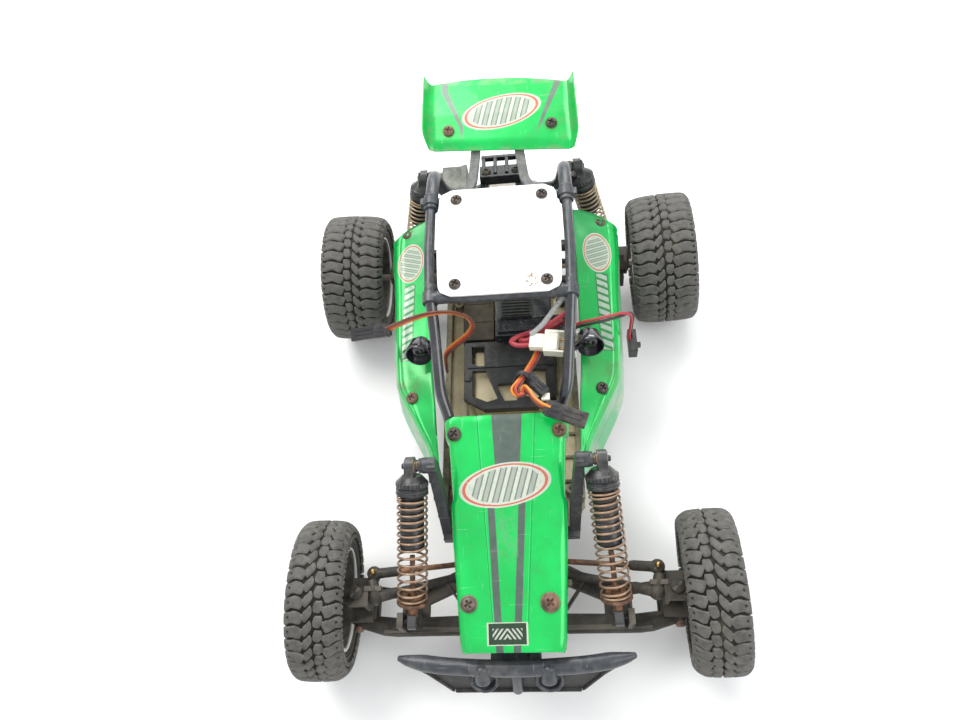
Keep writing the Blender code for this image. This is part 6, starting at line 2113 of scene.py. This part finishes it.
# (along, across, up) ranges: rear block, then walls, floor and cover of the housing
CONNECTOR_BOXES = (
    (0, 8.4, -3.9, 3.9, -2.6, 2.6), (0.8, 7.2, -4.2, 4.2, -1.2, 1.2),
    (7.6, 9.6, -6.1, 6.1, -3.4, 3.6), (9.0, 24.4, -6.1, -5.0, -3.4, 3.4),
    (9.0, 24.4, 5.0, 6.1, -3.4, 3.4), (9.0, 24.4, -6.1, 6.1, -3.4, -2.3),
    (9.0, 14.6, -6.1, 6.1, 2.5, 3.6), (14.2, 15.2, -6.1, 6.1, -3.2, 2.6),
    (9.4, 14.2, -5.2, -4.2, 3.4, 4.1), (9.4, 14.2, 4.2, 5.2, 3.4, 4.1))


def connector(part):
    for spans in CONNECTOR_BOXES:
        part.box(*spans, in_connector)


def connector_pins(part):
    for across in (-2.6, 2.6):
        part.tube([in_connector((along, across, -0.9)) for along in (14.6, 21.0)], 0.7, 14)


solid("v_connector", connector, "cream", "speed_control", bevel=0.3, segments=3, smooth=38)
solid("v_connector_pins", connector_pins, "brass", "speed_control", bevel=0, smooth=45)

wire("wire_power_red", [
    (27.0, 52.0, 50.0), (33.0, 50.5, 58.0), (33.6, 47.5, 66.5), (29.4, 40.6, 71.5),
    (22.1, 32.6, 76.5), (14.9, 26.6, 81.0), (7.4, 22.2, 84.0), (3.9, 19.0, 85.0),
    (6.2, 16.4, 85.6), (10.0, 15.6, 86.2), (14.6, 15.4, 86.6)], "wire_red", 1.35)
wire("wire_power_black", [
    (22.0, 51.0, 50.5), (29.0, 48.5, 56.0), (31.6, 44.2, 61.5), (25.2, 36.2, 69.0),
    (17.4, 29.6, 74.5), (11.6, 24.6, 79.0), (8.8, 21.2, 82.6), (9.4, 19.4, 84.8),
    (11.6, 18.6, 86.0), (15.0, 18.9, 86.8)], "wire_red", 1.25)
wire("wire_power_dark", [
    (24.0, 52.0, 48.0), (31.0, 49.0, 54.0), (34.2, 44.0, 60.0), (28.6, 36.4, 66.5),
    (20.6, 30.6, 70.5), (15.2, 25.2, 75.0), (13.2, 20.6, 79.5), (13.6, 18.4, 83.6),
    (14.8, 18.8, 86.0)], "wire_black", 1.2)
wire("antenna_tube", [
    (33.4, 35.6, 104.0), (31.4, 33.2, 101.6), (26.1, 28.4, 97.2), (20.8, 23.9, 92.6),
    (17.0, 21.6, 90.2), (14.4, 20.2, 89.4)], "clear_tube", 1.35)

# ---- tied bundle: centre line points with the spread of the wires there
BUNDLE = (((18.4, 19.0, 76.0), 1), ((17.6, 15.6, 80.0), 1), ((15.8, 9.0, 83.0), 1),
          ((13.2, 2.6, 86.0), 1), ((10.2, -3.4, 88.6), 0.75), ((7.4, -8.6, 90.4), 1.1),
          ((5.4, -12.4, 90.6), 1.5), ((6.6, -15.2, 89.6), 1.2), ((9.6, -14.8, 90.2), 0.8))
for k, (material, offset) in enumerate((
        ("wire_orange", (-1.0, 0.3, 0.2)), ("wire_redlead", (0.3, 0.0, 0.9)),
        ("wire_brown", (1.4, -0.2, 0.1)), ("wire_orange", (-0.2, 0.5, -0.9)))):
    wire(f"bundle_{k}", [Vector(p) + Vector(offset) * spread for p, spread in BUNDLE],
         material, 0.78)
ribbon("lead_left", [(9.0, -14.2, 89.6), (10.6, -12.0, 91.0), (12.6, -14.6, 92.0),
                     (14.8, -18.8, 92.6), (18.2, -22.6, 93.4), (22.2, -24.8, 93.2)],
       radius=0.75, per=8, up=(0, 0, 1), twist=lambda t: 0.2)
plug("plug_left", (20.9, -24.2, 93.2), (39.4, -31.6, 91.8), roll=(-0.1, -0.3, 1), width=8.0,
     height=3.4)


def tie_ring(part):
    centre = Vector((9.6, -4.4, 88.8))
    axis = Vector((-0.42, -0.84, 0.35)).normalized()
    part.ring([(-0.75, 3.0), (-0.95, 3.5), (-0.5, 4.0), (0.5, 4.0), (0.95, 3.5), (0.7, 3.0)],
              centre, axis, 36)
    part.ring([(-0.6, 2.9), (-0.7, 3.3), (-0.4, 3.7), (0.4, 3.7), (0.7, 3.3), (0.6, 2.9)],
              centre + axis * 1.5, axis + Vector((0.2, 0, 0.1)), 36)


solid("v_tie_ring", tie_ring, "wire_black", "speed_control", bevel=0, smooth=60)
plug("plug_small", (12.2, -3.6, 86.2), (20.4, -12.0, 84.2), roll=(0, 0.3, 1), width=6.2,
     height=3.0)
solid("v_plug_small_face", lambda part: part.box(18.2, 22.4, -15.2, -11.4, 82.6, 84.2), "cream",
      "speed_control", bevel=0.3)

# ---- switch wires over the left side panel
wire("switch_red", [
    (29.0, 28.6, 74.0), (33.6, 27.0, 81.0), (39.3, 27.4, 85.6), (50.1, 29.2, 86.4),
    (60.6, 33.2, 83.6), (66.2, 35.4, 79.4), (68.0, 35.4, 75.4), (67.6, 33.4, 70.0),
    (67.2, 31.6, 63.0), (68.0, 31.0, 58.5)], "wire_red", 0.78, slot="switch_housing")
wire("switch_black", [
    (29.0, 27.0, 73.0), (33.5, 25.6, 80.0), (39.2, 26.0, 84.6), (50.0, 27.8, 85.2),
    (60.6, 32.0, 82.4), (66.8, 36.6, 78.4), (69.0, 36.8, 74.6), (68.6, 34.8, 69.0),
    (68.6, 33.4, 63.0), (68.8, 33.0, 58.5)], "wire_black", 0.78, slot="switch_housing")

# ================================================================= screws, one object a finish
FIRST_CHASSIS_NODE = next(node for node in NODES if NODES[node]["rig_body"] == "chassis")
for material, screws in SCREWS.items():
    part = Part()
    for arguments in screws:
        add_screw(part, *arguments)
    add_object(part.finished_mesh(), "screws_chassis_" + material, material,
               FIRST_CHASSIS_NODE, smooth=50)


# ================================================================= floor, lights, camera
def floor_material():
    mat = Shader("floor_white")
    clouds = mat.noise(scale=0.01, detail=2, rough=0.5)
    mat.done(mat.mix(clouds, (0.90, 0.90, 0.895), (0.915, 0.915, 0.91)), 0.75, specular=0.2)


def build_floor():
    """Flat floor that curves up into a wall behind the car, in world millimetres."""
    bend = [(900 + 500 * math.sin(angle), 500 - 500 * math.cos(angle))
            for angle in [math.pi / 2 * k / 10 for k in range(1, 11)]]
    part = Part()
    part.grid([[(x, y, z) for x in (-3500, -1000, 1000, 3500)]
               for y, z in [(-3000, 0), (900, 0), *bend, (1400, 3000)]])
    for vert in part.bm.verts:
        vert.co = vert.co * MM
    mesh = part.mesh()
    mesh.name = "floor"
    floor = bpy.data.objects.new("floor", mesh)
    COLLECTION.objects.link(floor)
    floor_material()
    mesh.materials.append(MATERIALS["floor_white"])
    mesh.shade_smooth()


def build_world(scene):
    world = bpy.data.worlds.new("studio")
    scene.world = world
    world.use_nodes = True
    tree = world.node_tree
    tree.nodes.clear()
    background = tree.nodes.new("ShaderNodeBackground")
    output = tree.nodes.new("ShaderNodeOutputWorld")
    tree.links.new(background.outputs[0], output.inputs[0])
    background.inputs["Color"].default_value = (0.97, 0.985, 1.0, 1)
    background.inputs["Strength"].default_value = 0.95


def area_light(name, location, target, size, size_y, power, color):
    light = bpy.data.lights.new(name, "AREA")
    light.energy = power
    light.color = color
    light.shape = "RECTANGLE"
    light.size = size
    light.size_y = size_y
    obj = bpy.data.objects.new(name, light)
    COLLECTION.objects.link(obj)
    obj.location = location
    direction = Vector(target) - Vector(location)
    obj.rotation_euler = direction.to_track_quat("-Z", "Y").to_euler()


def build_camera(scene):
    data = bpy.data.cameras.new("cam")
    camera = bpy.data.objects.new("cam", data)
    COLLECTION.objects.link(camera)
    data.sensor_width = 36.0
    data.lens = 27.7046625
    data.clip_start = 0.01
    data.clip_end = 20
    # the camera's axes in the world, and its place
    right = (0.99385910, 0.00192310, -0.11063628)
    up = (0.05281321, 0.87037080, 0.48955637)
    backward = (0.09723605, -0.49239312, 0.86492437)
    place = (0.0246146, -0.194114, 0.4156747)
    camera.matrix_world = Matrix((*zip(right, up, backward, place), (0, 0, 0, 1)))
    scene.camera = camera


scene = bpy.context.scene
build_floor()
build_world(scene)
area_light("key", (-0.55, 0.55, 1.25), target=(0, 0, 0.05), size=0.9, size_y=0.7, power=14.0,
           color=(1.0, 0.99, 0.97))
area_light("fill", (0.9, -0.4, 0.9), target=(0, 0, 0.05), size=0.8, size_y=0.8, power=6.0,
           color=(0.97, 0.98, 1.0))
area_light("strip", (0.15, 0.95, 0.75), target=(0, 0.05, 0.08), size=0.8, size_y=0.25,
           power=6.0, color=(1, 1, 1))
build_camera(scene)
scene.view_settings.view_transform = "Standard"
scene.view_settings.look = "None"
scene.view_settings.exposure = 0.0
